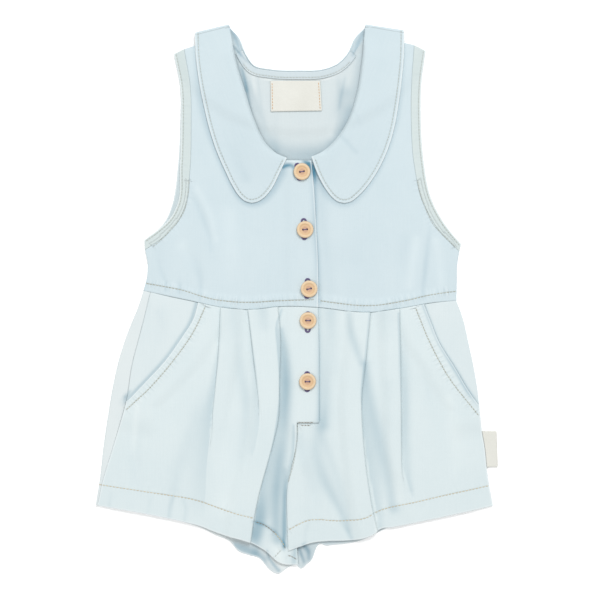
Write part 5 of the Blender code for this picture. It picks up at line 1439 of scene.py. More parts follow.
def border_distances(points):
    """Distance along the cloth from each border of the grid."""
    down = np.zeros(points.shape[:2])
    down[1:] = np.cumsum(np.linalg.norm(np.diff(points, axis=0), axis=2), axis=0)
    across = np.zeros(points.shape[:2])
    across[:, 1:] = np.cumsum(np.linalg.norm(np.diff(points, axis=1), axis=2), axis=1)
    return {"top": down, "bottom": down[-1:] - down, "left": across, "right": across[:, -1:] - across}


def grid_normals(points):
    faces = np.cross(points[1:, 1:] - points[:-1, :-1], points[:-1, 1:] - points[1:, :-1])
    normals = np.zeros_like(points)
    normals[:-1, :-1] += faces
    normals[1:, :-1] += faces
    normals[:-1, 1:] += faces
    normals[1:, 1:] += faces
    return normals / np.maximum(np.linalg.norm(normals, axis=2, keepdims=True), 1e-9)


def beside(places, path):
    """Signed distance of each place from a path, above 0 to its left, and where along the path."""
    best = np.full(len(places), np.inf)
    signed, position = best.copy(), np.zeros(len(places))
    for index, (start, stop) in enumerate(zip(path[:-1], path[1:])):
        along = stop - start
        share = np.clip((places - start) @ along / (along @ along), 0, 1)
        away = places - start - share[:, None] * along
        distance = np.hypot(away[:, 0], away[:, 1])
        nearer = distance < best
        left = np.sign(along[0] * away[:, 1] - along[1] * away[:, 0])
        best[nearer] = distance[nearer]
        signed[nearer] = (distance * np.where(left == 0, 1, left))[nearer]
        position[nearer] = index + share[nearer]
    return signed, position


def creased(plan, group):
    """Height and painted shade that the creases give to the cloth at each point of the plan."""
    places = plan.reshape(-1, 2)
    height, shade = np.zeros(len(places)), np.zeros(len(places))
    for crease in CREASES:
        if crease.on != group:
            continue
        points = np.array(crease.points)
        widest = points[:, 2].max() * 2 + 1
        low, high = points[:, :2].min(0) - widest, points[:, :2].max(0) + widest
        near = np.flatnonzero(((places > low) & (places < high)).all(1))
        if not len(near):
            continue
        count = 4 * (len(points) - 1) + 1
        path = curve(points[:, :2], count)
        signed, position = beside(places[near], path)
        at = position / (count - 1) * (len(points) - 1)
        width = np.interp(at, range(len(points)), points[:, 2])
        tone = np.interp(at, range(len(points)), points[:, 3])
        if crease.side:
            inside = signed * crease.side
            profile = np.where(
                inside > 0, 1 - smooth_step(inside / width), 1 - smooth_step(-inside / 0.9)
            )
        else:
            profile = np.exp(-1.6 * (signed / width) ** 2)
        # Painted shade along the crease; a level below 0 paints a highlight instead.
        shade[near] += tone * profile
        fade = smooth_step(at) * smooth_step(len(points) - 1 - at)
        height[near] += crease.relief * fade * profile
    shape = plan.shape[:2]
    return height.reshape(shape), 1 - np.minimum(shade, 0.85).reshape(shape)[..., None] * SHADE


def seam_marks(plan, rows):
    """For each point: place along the nearest row of stitches, distance from it, and pucker.

    The second result is 1 close to a row and 0 elsewhere.
    """
    places = plan.reshape(-1, 2)
    marks = np.column_stack([np.zeros(len(places)), np.full(len(places), FAR), np.zeros(len(places))])
    line = np.zeros(len(places))
    for number, row in enumerate(rows):
        path = np.asarray(row.points, float)
        low, high = path.min(0) - SEAM_REACH, path.max(0) + SEAM_REACH
        near = np.flatnonzero(((places > low) & (places < high)).all(1))
        if not len(near):
            continue
        signed, position = beside(places[near], path)
        length = np.concatenate([[0], np.cumsum(np.linalg.norm(np.diff(path, axis=0), axis=1))])
        along = np.interp(position, range(len(path)), length) + 500 * number
        away = np.abs(signed)
        closer = (away < marks[near, 1]) & (position > 0) & (position < len(path) - 1)
        chosen = near[closer]
        strength = np.full(len(chosen), row.pucker)
        marks[chosen] = np.column_stack([along[closer], away[closer], strength])
        line[chosen] = away[closer] < LINE_REACH
    return marks.reshape(*plan.shape[:2], 3), line.reshape(plan.shape[:2])


def closed_wall(points, thickness):
    """Vertices and faces of a wall about the grid, closed by a strip around its borders."""
    rows, columns = points.shape[:2]
    borders = border_distances(points)
    nearest = np.minimum.reduce(list(borders.values()))
    share = np.interp(nearest, [at for at, _ in RIM], [amount for _, amount in RIM])
    half = grid_normals(points) * (share * thickness / 2)[..., None]
    vertices = np.concatenate([(points + half).reshape(-1, 3), (points - half).reshape(-1, 3)])
    index = np.arange(rows * columns).reshape(rows, columns)
    top = np.stack([index[:-1, :-1], index[:-1, 1:], index[1:, 1:], index[1:, :-1]], -1).reshape(-1, 4)
    loop = np.concatenate([index[0, :-1], index[:-1, -1], index[-1, :0:-1], index[:0:-1, 0]])
    after, under = np.roll(loop, -1), rows * columns
    side = np.stack([loop, loop + under, after + under, after], -1)
    faces = np.concatenate([top, top[:, ::-1] + under, side])
    first = vertices[faces[:, 0]]
    volume = np.einsum(
        "ij,ij->", first, np.cross(vertices[faces[:, 1]], vertices[faces[:, 2]])
        + np.cross(vertices[faces[:, 2]], vertices[faces[:, 3]]),
    )
    return vertices, faces if volume > 0 else faces[:, ::-1]


def mesh_object(name, vertices, faces, material):
    """Object from points in millimetres and faces with four corners each."""
    mesh = bpy.data.meshes.new(name)
    mesh.vertices.add(len(vertices))
    mesh.vertices.foreach_set("co", (vertices * MM).astype(np.float32).ravel())
    mesh.loops.add(faces.size)
    mesh.loops.foreach_set("vertex_index", faces.astype(np.int32).ravel())
    mesh.polygons.add(len(faces))
    mesh.polygons.foreach_set("loop_start", np.arange(0, faces.size, 4, dtype=np.int32))
    mesh.update(calc_edges=True)
    mesh.validate()
    mesh.shade_smooth()
    mesh.materials.append(material)
    made = bpy.data.objects.new(name, mesh)
    bpy.context.scene.collection.objects.link(made)
    return made


def write(mesh, name, kind, values):
    """Stores a value for each vertex, for the materials to read."""
    made = mesh.attributes.new(name, kind, "POINT")
    values = np.asarray(values, np.float32)
    if kind == "FLOAT_COLOR":
        values = np.column_stack([values, np.ones(len(values), np.float32)])
    key = {"FLOAT": "value", "FLOAT_VECTOR": "vector", "FLOAT_COLOR": "color"}[kind]
    made.data.foreach_set(key, values.ravel())


def front_only(name, points):
    """1 where creases shape the cloth, and 0 where it turns to the underside."""
    if name != "collar":
        return np.ones(points.shape[:2])
    return smooth_step((points[..., 2] - 2.6) / 1.2)


def cloth_piece(name, points, look, rows, materials, number):
    flat_area = float(np.linalg.norm(np.cross(
        points[1:, 1:] - points[:-1, :-1], points[:-1, 1:] - points[1:, :-1]
    ), axis=2).sum() / 2)
    points = with_rims(points)
    borders = border_distances(points)
    plan = points[..., :2]
    # colour is the creases' painted shade and painted highlight.
    rise, colour = creased(plan, look.group)
    marks, line = seam_marks(plan, rows)
    air = side_air(plan[..., 0], *sides_at(plan[..., 1]))
    rise = np.where(rise < 0, rise * (0.2 + 0.8 * air), rise) * front_only(name, points)
    shaped = points.copy()
    shaped[..., 2] += rise
    vertices, faces = closed_wall(shaped, SHELL)
    vertices[:, 2] = np.maximum(vertices[:, 2], LOWEST)
    made = mesh_object(name + "_cloth", vertices, faces, materials[look.material])

    def both(values):
        values = values.reshape(-1, *values.shape[2:])
        return np.concatenate([values, values])

    turn = look.grain * np.where(plan[..., 0] < 0, 1, -1) if name == "collar" else look.grain
    weave = np.stack([
        plan[..., 0] * np.cos(turn) + plan[..., 1] * np.sin(turn),
        plan[..., 1] * np.cos(turn) - plan[..., 0] * np.sin(turn),
        np.full(plan.shape[:2], 40.0 * number),
    ], -1)
    worn = [borders[side] for side in look.worn.split()]
    edge_distance = np.minimum.reduce(worn) if worn else np.full(plan.shape[:2], FAR)
    write(made.data, "weave", "FLOAT_VECTOR", both(weave))
    write(made.data, "seam", "FLOAT_VECTOR", both(marks))
    write(made.data, "line", "FLOAT", both(line))
    write(made.data, "rim", "FLOAT", both(edge_distance))
    # The creases' painted shade, times the piece's colour from the table, which is partly painted shade
    # too.
    write(made.data, "tone", "FLOAT_COLOR", both(colour * np.array(PIECE_COLOURS_AND_SHADE.get(name, (1.0, 1.0, 1.0)))))
    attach(made, "root")
    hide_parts(name)
    width = max(float(borders["left"].max()) * MM, 0.01)
    length = max(float(borders["top"].max()) * MM, 0.01)
    area = min(flat_area * MM * MM, width * length)
    held = "folded" if name == "side_label" else "laid"
    return made, (width, length), held, area


def sides_at(y):
    """Left and right outline of the garment at height y."""
    low = np.where(
        y > 7, bodice_side(ARMHOLE_RIGHT, SIDE_RIGHT, y), outline_x(HIP_RIGHT, y)
    )
    high = np.where(y > 0, bodice_side(ARMHOLE_LEFT, SIDE_LEFT, y), outline_x(HIP_LEFT, y))
    return low, high


# Stitches.
THREAD_RADIUS = 0.27
THREAD_SIDES = 6
STITCH_STATIONS = (0.0, 0.2, 0.5, 0.8, 1.0)
STITCH_SINK = 0.3


def all_rows():
    """Every row of stitches: those given as they run, and those that follow an edge."""
    rows = [row._replace(points=curve(row.points, 60)) for row in ROWS]

    def along(points, distance, thread, pucker, count=80, start=0.0, stop=1.0):
        path = offset(curve(points, count), distance)
        path = path[int(start * count):int(math.ceil(stop * count))]
        rows.append(Row(thread, 2.2, 0.6, pucker, path))

    for armhole, inward in ((ARMHOLE_RIGHT, -1), (ARMHOLE_LEFT, 1)):
        line = [(row.edge_x, row.edge_y) for row in armhole]
        along(line, inward * 1.9, "grey", 0.5)
    along(COLLAR_FRONT_RIGHT + COLLAR_OUTER_RIGHT[1:], 2.9, "grey", 0.35, count=160, start=0.015)
    along(COLLAR_FRONT_LEFT + COLLAR_OUTER_LEFT[1:], -2.9, "grey", 0.35, count=160, start=0.015)
    along(BACK_NECK_FOLD, 6.4, "grey", 0.4, count=160, start=0.22, stop=0.79)
    for left in (True, False):
        upper, lower = (NECK_LABEL[0], NECK_LABEL[3]) if left else (NECK_LABEL[1], NECK_LABEL[2])
        inset = 1.6 if left else -1.6
        side = [(upper[0] + inset, upper[1] - 1), (lower[0] + inset, lower[1] + 1)]
        rows.append(Row("orange", 2.0, 0.7, 0.1, curve(side, 20)))
    return rows


def tube(stations, radii, sides):
    """Vertices and faces of a closed tube through the stations."""
    stations = np.asarray(stations, float)
    along = np.gradient(stations, axis=0)
    along /= np.linalg.norm(along, axis=1, keepdims=True)
    sideways = np.cross(along, (0.0, 0.0, 1.0))
    sideways /= np.maximum(np.linalg.norm(sideways, axis=1, keepdims=True), 1e-9)
    upward = np.cross(sideways, along)
    angles = np.linspace(0, 2 * math.pi, sides, endpoint=False)
    ring = sideways[:, None] * np.cos(angles)[:, None] + upward[:, None] * np.sin(angles)[:, None]
    vertices = (stations[:, None] + ring * np.asarray(radii)[:, None, None]).reshape(-1, 3)
    index = np.arange(len(stations) * sides).reshape(len(stations), sides)
    turned = np.roll(index, -1, axis=1)
    faces = np.stack([index[:-1], index[1:], turned[1:], turned[:-1]], -1).reshape(-1, 4)
    caps = []
    for ring_index in (index[0], index[-1][::-1]):
        for corner in range(1, sides - 2, 2):
            caps.append([ring_index[0], ring_index[corner], ring_index[corner + 1], ring_index[corner + 2]])
    return vertices, np.concatenate([faces, caps])


class Surface:
    """The cloth's topmost surface, found by looking straight down on it."""

    def __init__(self, pieces):
        vertices, polygons, start = [], [], 0
        for piece in pieces:
            co = np.empty(len(piece.data.vertices) * 3, np.float32)
            piece.data.vertices.foreach_get("co", co)
            corners = np.empty(len(piece.data.loops), np.int32)
            piece.data.loops.foreach_get("vertex_index", corners)
            vertices.append(co.reshape(-1, 3) / MM)
            polygons.append(corners.reshape(-1, 4) + start)
            start += len(piece.data.vertices)
        self.tree = BVHTree.FromPolygons(
            np.concatenate(vertices).tolist(), np.concatenate(polygons).tolist()
        )

    def height(self, x, y, missing=0.0):
        place, *_ = self.tree.ray_cast(Vector((x, y, 60.0)), Vector((0, 0, -1)))
        return missing if place is None else place.z


def stitches_of(row, surface):
    """Tubes of one row's stitches, each dipping into the cloth at its ends."""
    path = np.asarray(row.points, float)
    run = np.concatenate([[0], np.cumsum(np.linalg.norm(np.diff(path, axis=0), axis=1))])
    pitch = row.stitch + row.space
    count = max(1, int(run[-1] / pitch))
    made = []
    for number in range(count):
        first = (run[-1] - count * pitch + row.space) / 2 + number * pitch
        where = first + np.array(STITCH_STATIONS) * row.stitch
        x = np.interp(where, run, path[:, 0])
        y = np.interp(where, run, path[:, 1])
        z = np.array([surface.height(a, b) for a, b in zip(x, y)])
        if z.min() < 0.5 or np.ptp(z) > 1.6:
            continue
        sink = np.array([STITCH_SINK, 0.02, -0.05, 0.02, STITCH_SINK])
        z = z + THREAD_RADIUS * 0.5 - sink
        radii = THREAD_RADIUS * np.array([0.55, 1.0, 1.05, 1.0, 0.55])
        made.append((np.column_stack([x, y, z]), radii))
    return made


def tubes_object(name, tubes, sides, material):
    vertices, faces, local, start = [], [], [], 0
    for stations, radii in tubes:
        points, quads = tube(stations, radii, sides)
        length = np.concatenate([[0], np.cumsum(np.linalg.norm(np.diff(stations, axis=0), axis=1))])
        turn = np.tile(np.linspace(0, 1, sides, endpoint=False), len(stations))
        local.append(np.column_stack([np.repeat(length, sides) + 7.3 * len(local), turn, 0 * turn]))
        vertices.append(points)
        faces.append(quads + start)
        start += len(points)
    made = mesh_object(name, np.concatenate(vertices), np.concatenate(faces), material)
    write(made.data, "strand", "FLOAT_VECTOR", np.concatenate(local))
    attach(made, "root")
    return made


def buttonhole_tubes(surface):
    """The two thread loops of each buttonhole that reach out beyond the button."""
    made = []
    for place, (top, bottom) in zip(BUTTONS, BUTTONHOLES):
        centre = np.array([place.x, place.y])
        for apex, away in ((np.array(top), 1), (np.array(bottom), -1)):
            out = apex - centre
            out = out / np.hypot(*out)
            across = np.array([-out[1], out[0]])
            middle = apex - out * (LOOP_HALF + LOOP_RADIUS)
            turn = np.linspace(0, math.pi, 13)
            bend = [middle + LOOP_HALF * (across * math.cos(a) + out * math.sin(a)) for a in turn]
            inner = BUTTON_RADIUS - 1.2
            start, stop = (middle + side * LOOP_HALF * across for side in (1, -1))
            reach = max(0.0, float((middle - centre) @ out) - inner)
            path = np.array([start - out * (reach + 1.5)] + bend + [stop - out * (reach + 1.5)])
            path = curve(path, 22)
            z = np.array([surface.height(a, b) for a, b in path]) + LOOP_RADIUS * 0.35
            made.append((np.column_stack([path, z]), np.full(len(path), LOOP_RADIUS)))
    return made


LOOP_HALF = 1.9
LOOP_RADIUS = 0.8


# Buttons.
BUTTON_SIDES = 72
BUTTON_TOP = [
    (0.02, -0.72), (1.0, -0.72), (2.0, -0.72), (3.0, -0.72), (3.8, -0.70), (4.4, -0.62), (4.9, -0.42),
    (5.3, -0.16), (5.7, -0.03), (6.2, 0.0), (6.7, -0.06), (7.1, -0.24), (7.4, -0.55), (7.56, -0.95),
]
BUTTON_UNDER = [(7.56, -1.9), (7.4, -2.4), (7.0, -2.75), (6.4, -2.95), (4.0, -3.0), (0.02, -3.0)]


def wooden_button(name, node, place, height, material):
    """A turned button with a dished face and two holes through it."""
    outline = np.array(BUTTON_TOP + BUTTON_UNDER)
    angles = np.linspace(0, 2 * math.pi, BUTTON_SIDES, endpoint=False)
    ring = np.stack([np.cos(angles), np.sin(angles)], -1)
    plan = outline[:, None, :1] * ring[None]
    z = np.repeat(outline[:, 1:] + BUTTON_HEIGHT, BUTTON_SIDES, axis=1)[..., None]
    points = np.concatenate([plan, z], -1).reshape(-1, 3)
    index = np.arange(len(points)).reshape(len(outline), BUTTON_SIDES)
    turned = np.roll(index, -1, axis=1)
    work = bmesh.new()
    verts = [work.verts.new(point * MM) for point in points]
    for a, b, c, d in np.stack([index[:-1], index[1:], turned[1:], turned[:-1]], -1).reshape(-1, 4):
        work.faces.new([verts[a], verts[b], verts[c], verts[d]])
    work.faces.new([verts[i] for i in index[0]])
    work.faces.new([verts[i] for i in index[-1][::-1]])
    bmesh.ops.recalc_face_normals(work, faces=work.faces)
    body = new_object(name + "_body", work)
    for side in (-1, 1):
        cutter = bmesh.new()
        bmesh.ops.create_cone(
            cutter, cap_ends=True, segments=20, radius1=BUTTON_HOLE_RADIUS * MM,
            radius2=BUTTON_HOLE_RADIUS * MM, depth=4 * BUTTON_HEIGHT * MM,
        )
        bmesh.ops.translate(cutter, verts=cutter.verts, vec=(side * BUTTON_HOLE_SPACING / 2 * MM, 0, 0))
        hole = body.modifiers.new("Hole", "BOOLEAN")
        hole.operation = "DIFFERENCE"
        hole.object = new_object(f"{name}_hole_{side}", cutter)
    graph = bpy.context.evaluated_depsgraph_get()
    mesh = bpy.data.meshes.new_from_object(body.evaluated_get(graph))
    for hole in list(body.modifiers):
        bpy.data.objects.remove(hole.object)
    bpy.data.objects.remove(body)
    co = np.empty(len(mesh.vertices) * 3, np.float32)
    mesh.vertices.foreach_get("co", co)
    co = co.reshape(-1, 3)
    write(mesh, "turned", "FLOAT_VECTOR", co / MM + np.array([0, 0, 0]))
    write(mesh, "grain", "FLOAT_VECTOR", co / MM + np.array([37.0 * place.y, 11.0 * place.x, 0]))
    tilt = BUTTON_TILT[node]
    spun = co.copy()
    spun[:, 0] = co[:, 0] * math.cos(tilt) - co[:, 1] * math.sin(tilt)
    spun[:, 1] = co[:, 0] * math.sin(tilt) + co[:, 1] * math.cos(tilt)
    spun += np.array([place.x, place.y, height]) * MM
    mesh.vertices.foreach_set("co", spun.astype(np.float32).ravel())
    mesh.update()
    mesh.shade_smooth()
    mesh.materials.clear()
    mesh.materials.append(material)
    mesh.name = name
    made = bpy.data.objects.new(name, mesh)
    bpy.context.scene.collection.objects.link(made)
    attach(made, "root")
    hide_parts(node)
    return made


BUTTON_TILT = {
    "button_1": 0.18, "button_2": 0.10, "button_3": 0.24, "button_4": 0.0, "button_5": 0.02,
}


def new_object(name, work):
    mesh = bpy.data.meshes.new(name)
    work.to_mesh(mesh)
    work.free()
    made = bpy.data.objects.new(name, mesh)
    bpy.context.scene.collection.objects.link(made)
    return made


def button_thread(place, height, tilt):
    """Thread between a button's two holes."""
    half = BUTTON_HOLE_SPACING / 2
    x = np.array([-half - 0.1, -half, -half * 0.55, 0.0, half * 0.55, half, half + 0.1])
    z = height + BUTTON_HEIGHT - 0.72 + np.array([-1.3, -0.35, 0.12, 0.2, 0.12, -0.35, -1.3])
    path = np.column_stack([
        place.x + x * math.cos(tilt), place.y + x * math.sin(tilt), z,
    ])
    return path, np.full(len(path), 0.42)


# Materials.


def put(tree, kind, inputs=None, **settings):
    """Adds a node, sets it up, and joins or sets its inputs."""
    made = tree.nodes.new("ShaderNode" + kind)
    for key, value in settings.items():
        setattr(made, key, value)
    for key, value in (inputs or {}).items():
        if isinstance(value, bpy.types.NodeSocket):
            tree.links.new(value, made.inputs[key])
        else:
            made.inputs[key].default_value = value
    return made


def sums(tree, operation, *values, clamp=False):
    inputs = dict(enumerate(values))
    return put(tree, "Math", inputs, operation=operation, use_clamp=clamp).outputs[0]


def stepped(tree, value, low, high, at_low, at_high):
    """Smooth change from at_low to at_high as value goes from low to high."""
    return put(
        tree, "MapRange",
        {"Value": value, "From Min": low, "From Max": high, "To Min": at_low, "To Max": at_high},
        interpolation_type="SMOOTHSTEP",
    ).outputs[0]


def noise(tree, vector, scale, detail=2.0, rough=0.5):
    """Noise from -1 to 1, with a scale for each direction, in cycles per millimetre."""
    scaled = put(tree, "VectorMath", {0: vector, 1: scale}, operation="MULTIPLY").outputs[0]
    value = put(
        tree, "TexNoise", {"Vector": scaled, "Scale": 1.0, "Detail": detail, "Roughness": rough}
    ).outputs["Fac"]
    return sums(tree, "MULTIPLY_ADD", value, 2.0, -1.0)


def mixed(tree, factor, one, other, blend="MIX"):
    made = put(
        tree, "Mix", {"Factor": factor, "A": one, "B": other} if False else {},
        data_type="RGBA", blend_type=blend,
    )
    for socket, value in ((made.inputs[0], factor), (made.inputs[6], one), (made.inputs[7], other)):
        if isinstance(value, bpy.types.NodeSocket):
            tree.links.new(value, socket)
        else:
            socket.default_value = value
    return made.outputs[2]


def new_material(name, colour, roughness, sheen=0.0):
    made = bpy.data.materials.new(name)
    made.use_nodes = True
    made.diffuse_color = (*colour, 1.0)
    shader = made.node_tree.nodes["Principled BSDF"]
    shader.inputs["Roughness"].default_value = roughness
    shader.inputs["Specular IOR Level"].default_value = 0.25
    shader.inputs["Sheen Weight"].default_value = sheen
    shader.inputs["Sheen Roughness"].default_value = 0.6
    return made, made.node_tree, shader


def washed_denim(name, pale, blue, twill_strength):
    """Pale washed denim: twill, uneven yarns, soft washed patches, seams, puckers and worn rims."""
    made, tree, shader = new_material(name, pale, 0.92, sheen=0.12)
    weave = put(tree, "Attribute", attribute_name="weave").outputs["Vector"]
    # Painted shade of the creases and the piece, as a colour to multiply by.
    tone = put(tree, "Attribute", attribute_name="tone").outputs["Color"]
    rim = put(tree, "Attribute", attribute_name="rim").outputs["Fac"]
    seam = put(tree, "SeparateXYZ", {
        0: put(tree, "Attribute", attribute_name="seam").outputs["Vector"]
    })
    along, off, pucker = seam.outputs[0], sums(tree, "ABSOLUTE", seam.outputs[1]), seam.outputs[2]

    warp = noise(tree, weave, (1.15, 0.035, 1.0), 3.0, 0.6)
    weft = noise(tree, weave, (0.05, 1.3, 1.0), 2.0)
    patches = noise(tree, weave, (0.022, 0.016, 1.0), 3.0)
    specks = noise(tree, weave, (1.6, 1.3, 1.0), 2.0)
    wobble = noise(tree, weave, (0.3, 0.3, 1.0), 1.0)
    slant = put(
        tree, "VectorMath", {0: weave, 1: (7.2, -7.2, 0.0)}, operation="DOT_PRODUCT"
    ).outputs["Value"]
    twill = sums(tree, "SINE", sums(tree, "MULTIPLY_ADD", wobble, 1.6, slant))

    blueness = sums(tree, "MULTIPLY_ADD", warp, 0.20, 0.42)
    blueness = sums(tree, "MULTIPLY_ADD", weft, 0.07, blueness)
    blueness = sums(tree, "MULTIPLY_ADD", patches, 0.30, blueness)
    blueness = sums(tree, "MULTIPLY_ADD", specks, 0.12, blueness)
    blueness = sums(tree, "MULTIPLY_ADD", twill, twill_strength, blueness)

    # Puckers beside a row of stitches, as short ridges across it.
    row_place = put(tree, "CombineXYZ", {0: sums(tree, "MULTIPLY", along, 0.34), 1: seam.outputs[1]})
    ripple = noise(tree, row_place.outputs[0], (1.0, 0.05, 0.0), 1.5)
    near = sums(tree, "MULTIPLY", stepped(tree, off, 0.5, 7.5, 1.0, 0.0), pucker)
    ripple = sums(tree, "MULTIPLY", ripple, near)
    # The puckers' ridges come out paler and their troughs bluer: partly the wash fading the ridges, partly
    # painted shade in the troughs.
    blueness = sums(tree, "MULTIPLY_ADD", ripple, -0.55, blueness)
    colour = mixed(tree, blueness, (*pale, 1.0), (*blue, 1.0))
    tree.nodes[-1].clamp_factor = True
    # Multiplies in the painted shade and painted highlight.
    colour = mixed(tree, 1.0, colour, tone, "MULTIPLY")
    line = put(tree, "Attribute", attribute_name="line").outputs["Fac"]
    groove_and_shade = sums(tree, "MULTIPLY", stepped(tree, off, 0.15, 1.0, 1.0, 0.0), line)
    # Painted shade in the groove that each row of stitches lies in.
    colour = mixed(tree, sums(tree, "MULTIPLY", groove_and_shade, 0.12), colour, (0.30, 0.32, 0.29, 1.0))
    worn = stepped(tree, rim, 0.4, 1.8, 0.55, 0.0)
    colour = mixed(tree, worn, colour, (0.78, 0.83, 0.84, 1.0))
    tree.links.new(colour, shader.inputs["Base Color"])

    height = sums(tree, "MULTIPLY", twill, 0.018)
    height = sums(tree, "MULTIPLY_ADD", warp, 0.035, height)
    height = sums(tree, "MULTIPLY_ADD", specks, 0.03, height)
    height = sums(tree, "MULTIPLY_ADD", ripple, 0.55, height)
    height = sums(tree, "MULTIPLY_ADD", groove_and_shade, -0.30, height)
    height = sums(tree, "MULTIPLY_ADD", noise(tree, weave, (0.12, 0.09, 1.0), 2.0), 0.12, height)
    bump = put(tree, "Bump", {"Strength": 1.0, "Distance": MM, "Height": height})
    tree.links.new(bump.outputs[0], shader.inputs["Normal"])
    rough = sums(tree, "MULTIPLY_ADD", specks, 0.05, 0.9)
    tree.links.new(rough, shader.inputs["Roughness"])
    return made


def label_tape(name):
    """Off-white woven tape with fine ribs."""
    made, tree, shader = new_material(name, LABEL_COLOUR, 0.8, sheen=0.1)
    weave = put(tree, "Attribute", attribute_name="weave").outputs["Vector"]
    tone = put(tree, "Attribute", attribute_name="tone").outputs["Color"]
    ribs = put(
        tree, "VectorMath", {0: weave, 1: (0.0, 9.0, 0.0)}, operation="DOT_PRODUCT"
    ).outputs["Value"]
    ribs = sums(tree, "SINE", ribs)
    threads = noise(tree, weave, (1.4, 0.6, 1.0), 2.0)
    soiling = noise(tree, weave, (0.05, 0.05, 1.0), 2.0)
    factor = sums(tree, "MULTIPLY_ADD", ribs, 0.10, 0.4)
    factor = sums(tree, "MULTIPLY_ADD", threads, 0.25, factor)
    factor = sums(tree, "MULTIPLY_ADD", soiling, 0.35, factor, clamp=True)
    colour = mixed(tree, factor, (*LABEL_COLOUR, 1.0), (*LABEL_SHADE, 1.0))
    # Multiplies in the painted shade of the creases.
    colour = mixed(tree, 1.0, colour, tone, "MULTIPLY")
    tree.links.new(colour, shader.inputs["Base Color"])
    height = sums(tree, "MULTIPLY", ribs, 0.05)
    height = sums(tree, "MULTIPLY_ADD", threads, 0.04, height)
    bump = put(tree, "Bump", {"Strength": 1.0, "Distance": MM, "Height": height})
    tree.links.new(bump.outputs[0], shader.inputs["Normal"])
    tree.links.new(sums(tree, "MULTIPLY_ADD", threads, 0.06, 0.78), shader.inputs["Roughness"])
    return made


LABEL_COLOUR = (0.76, 0.76, 0.71)
LABEL_SHADE = (0.64, 0.64, 0.58)


def turned_wood(name):
    """Pale turned wood: grain across the button, and faint rings from the lathe."""
    made, tree, shader = new_material(name, (0.72, 0.52, 0.33), 0.5)
    shader.inputs["Specular IOR Level"].default_value = 0.35
    place = put(tree, "Attribute", attribute_name="turned").outputs["Vector"]
    grain_place = put(tree, "Attribute", attribute_name="grain").outputs["Vector"]
    flat = put(tree, "VectorMath", {0: place, 1: (1.0, 1.0, 0.0)}, operation="MULTIPLY").outputs[0]
    radius = put(tree, "VectorMath", {0: flat}, operation="LENGTH").outputs["Value"]
    uneven = noise(tree, grain_place, (0.25, 0.25, 0.2), 2.0)
    # Colour by radius, darker at the falling outer edge as painted shade.
    ramp = put(tree, "ValToRGB", {
        0: sums(tree, "MULTIPLY", sums(tree, "MULTIPLY_ADD", uneven, 0.35, radius), 1 / 8.0)
    })
    stops = ramp.color_ramp
    stops.elements[0].position, stops.elements[0].color = 0.0, (*WOOD_COLOURS_AND_EDGE_SHADE[0][1], 1.0)
    stops.elements[1].position, stops.elements[1].color = 1.0, (*WOOD_COLOURS_AND_EDGE_SHADE[-1][1], 1.0)
    for at, colour in WOOD_COLOURS_AND_EDGE_SHADE[1:-1]:
        stops.elements.new(at).color = (*colour, 1.0)
    fibres = noise(tree, grain_place, (0.16, 2.2, 0.4), 4.0, 0.6)
    pores = noise(tree, grain_place, (0.9, 6.0, 1.0), 2.0)
    colour = mixed(
        tree, stepped(tree, fibres, -0.7, 0.7, 0.0, 0.42), ramp.outputs[0], (0.48, 0.28, 0.13, 1.0)
    )
    colour = mixed(tree, stepped(tree, pores, 0.15, 0.6, 0.0, 0.35), colour, (0.36, 0.20, 0.09, 1.0))
    tree.links.new(colour, shader.inputs["Base Color"])
    lathe = sums(tree, "SINE", sums(tree, "MULTIPLY", radius, 9.0))
    height = sums(tree, "MULTIPLY", lathe, 0.012)
    height = sums(tree, "MULTIPLY_ADD", fibres, 0.03, height)
    bump = put(tree, "Bump", {"Strength": 1.0, "Distance": MM, "Height": height})
    tree.links.new(bump.outputs[0], shader.inputs["Normal"])
    tree.links.new(sums(tree, "MULTIPLY_ADD", fibres, 0.08, 0.5), shader.inputs["Roughness"])
    return made


# Share of the way out to a button's edge, and the colour there: the wood's colours, and a darker
# edge that is painted shade.
WOOD_COLOURS_AND_EDGE_SHADE = [
    (0.0, (0.56, 0.36, 0.26)), (0.30, (0.58, 0.375, 0.26)), (0.42, (0.71, 0.50, 0.31)),
    (0.58, (0.69, 0.48, 0.28)), (0.66, (0.77, 0.59, 0.38)), (0.86, (0.80, 0.64, 0.44)),
    (0.94, (0.66, 0.50, 0.34)), (1.0, (0.50, 0.38, 0.26)),
]

# brown also stands for the tan thread in painted shade, where the hem lies in shadow.
THREADS = {
    "tan": (0.64, 0.54, 0.37), "grey": (0.50, 0.53, 0.49), "brown_and_shaded_tan": (0.30, 0.26, 0.21),
    "olive": (0.44, 0.43, 0.34),
    "orange": (0.62, 0.36, 0.16), "purple": (0.12, 0.09, 0.20),
}


def thread(name, colour):
    """Twisted sewing thread."""
    made, tree, shader = new_material(name, colour, 0.75, sheen=0.1)
    strand = put(tree, "Attribute", attribute_name="strand").outputs["Vector"]
    twist = put(
        tree, "VectorMath", {0: strand, 1: (9.0, 2 * math.pi, 0.0)}, operation="DOT_PRODUCT"
    ).outputs["Value"]
    twist = sums(tree, "SINE", twist)
    fuzz = noise(tree, strand, (0.7, 2.0, 1.0), 2.0)
    factor = sums(tree, "MULTIPLY_ADD", twist, 0.25, 0.4)
    factor = sums(tree, "MULTIPLY_ADD", fuzz, 0.3, factor, clamp=True)
    dark = tuple(0.6 * value for value in colour)
    light = tuple(min(1.0, 1.35 * value) for value in colour)
    tree.links.new(mixed(tree, factor, (*light, 1.0), (*dark, 1.0)), shader.inputs["Base Color"])
    bump = put(tree, "Bump", {
        "Strength": 1.0, "Distance": MM, "Height": sums(tree, "MULTIPLY", twist, 0.05),
    })
    tree.links.new(bump.outputs[0], shader.inputs["Normal"])
    tree.links.new(sums(tree, "MULTIPLY_ADD", fuzz, 0.08, 0.72), shader.inputs["Roughness"])
    return made


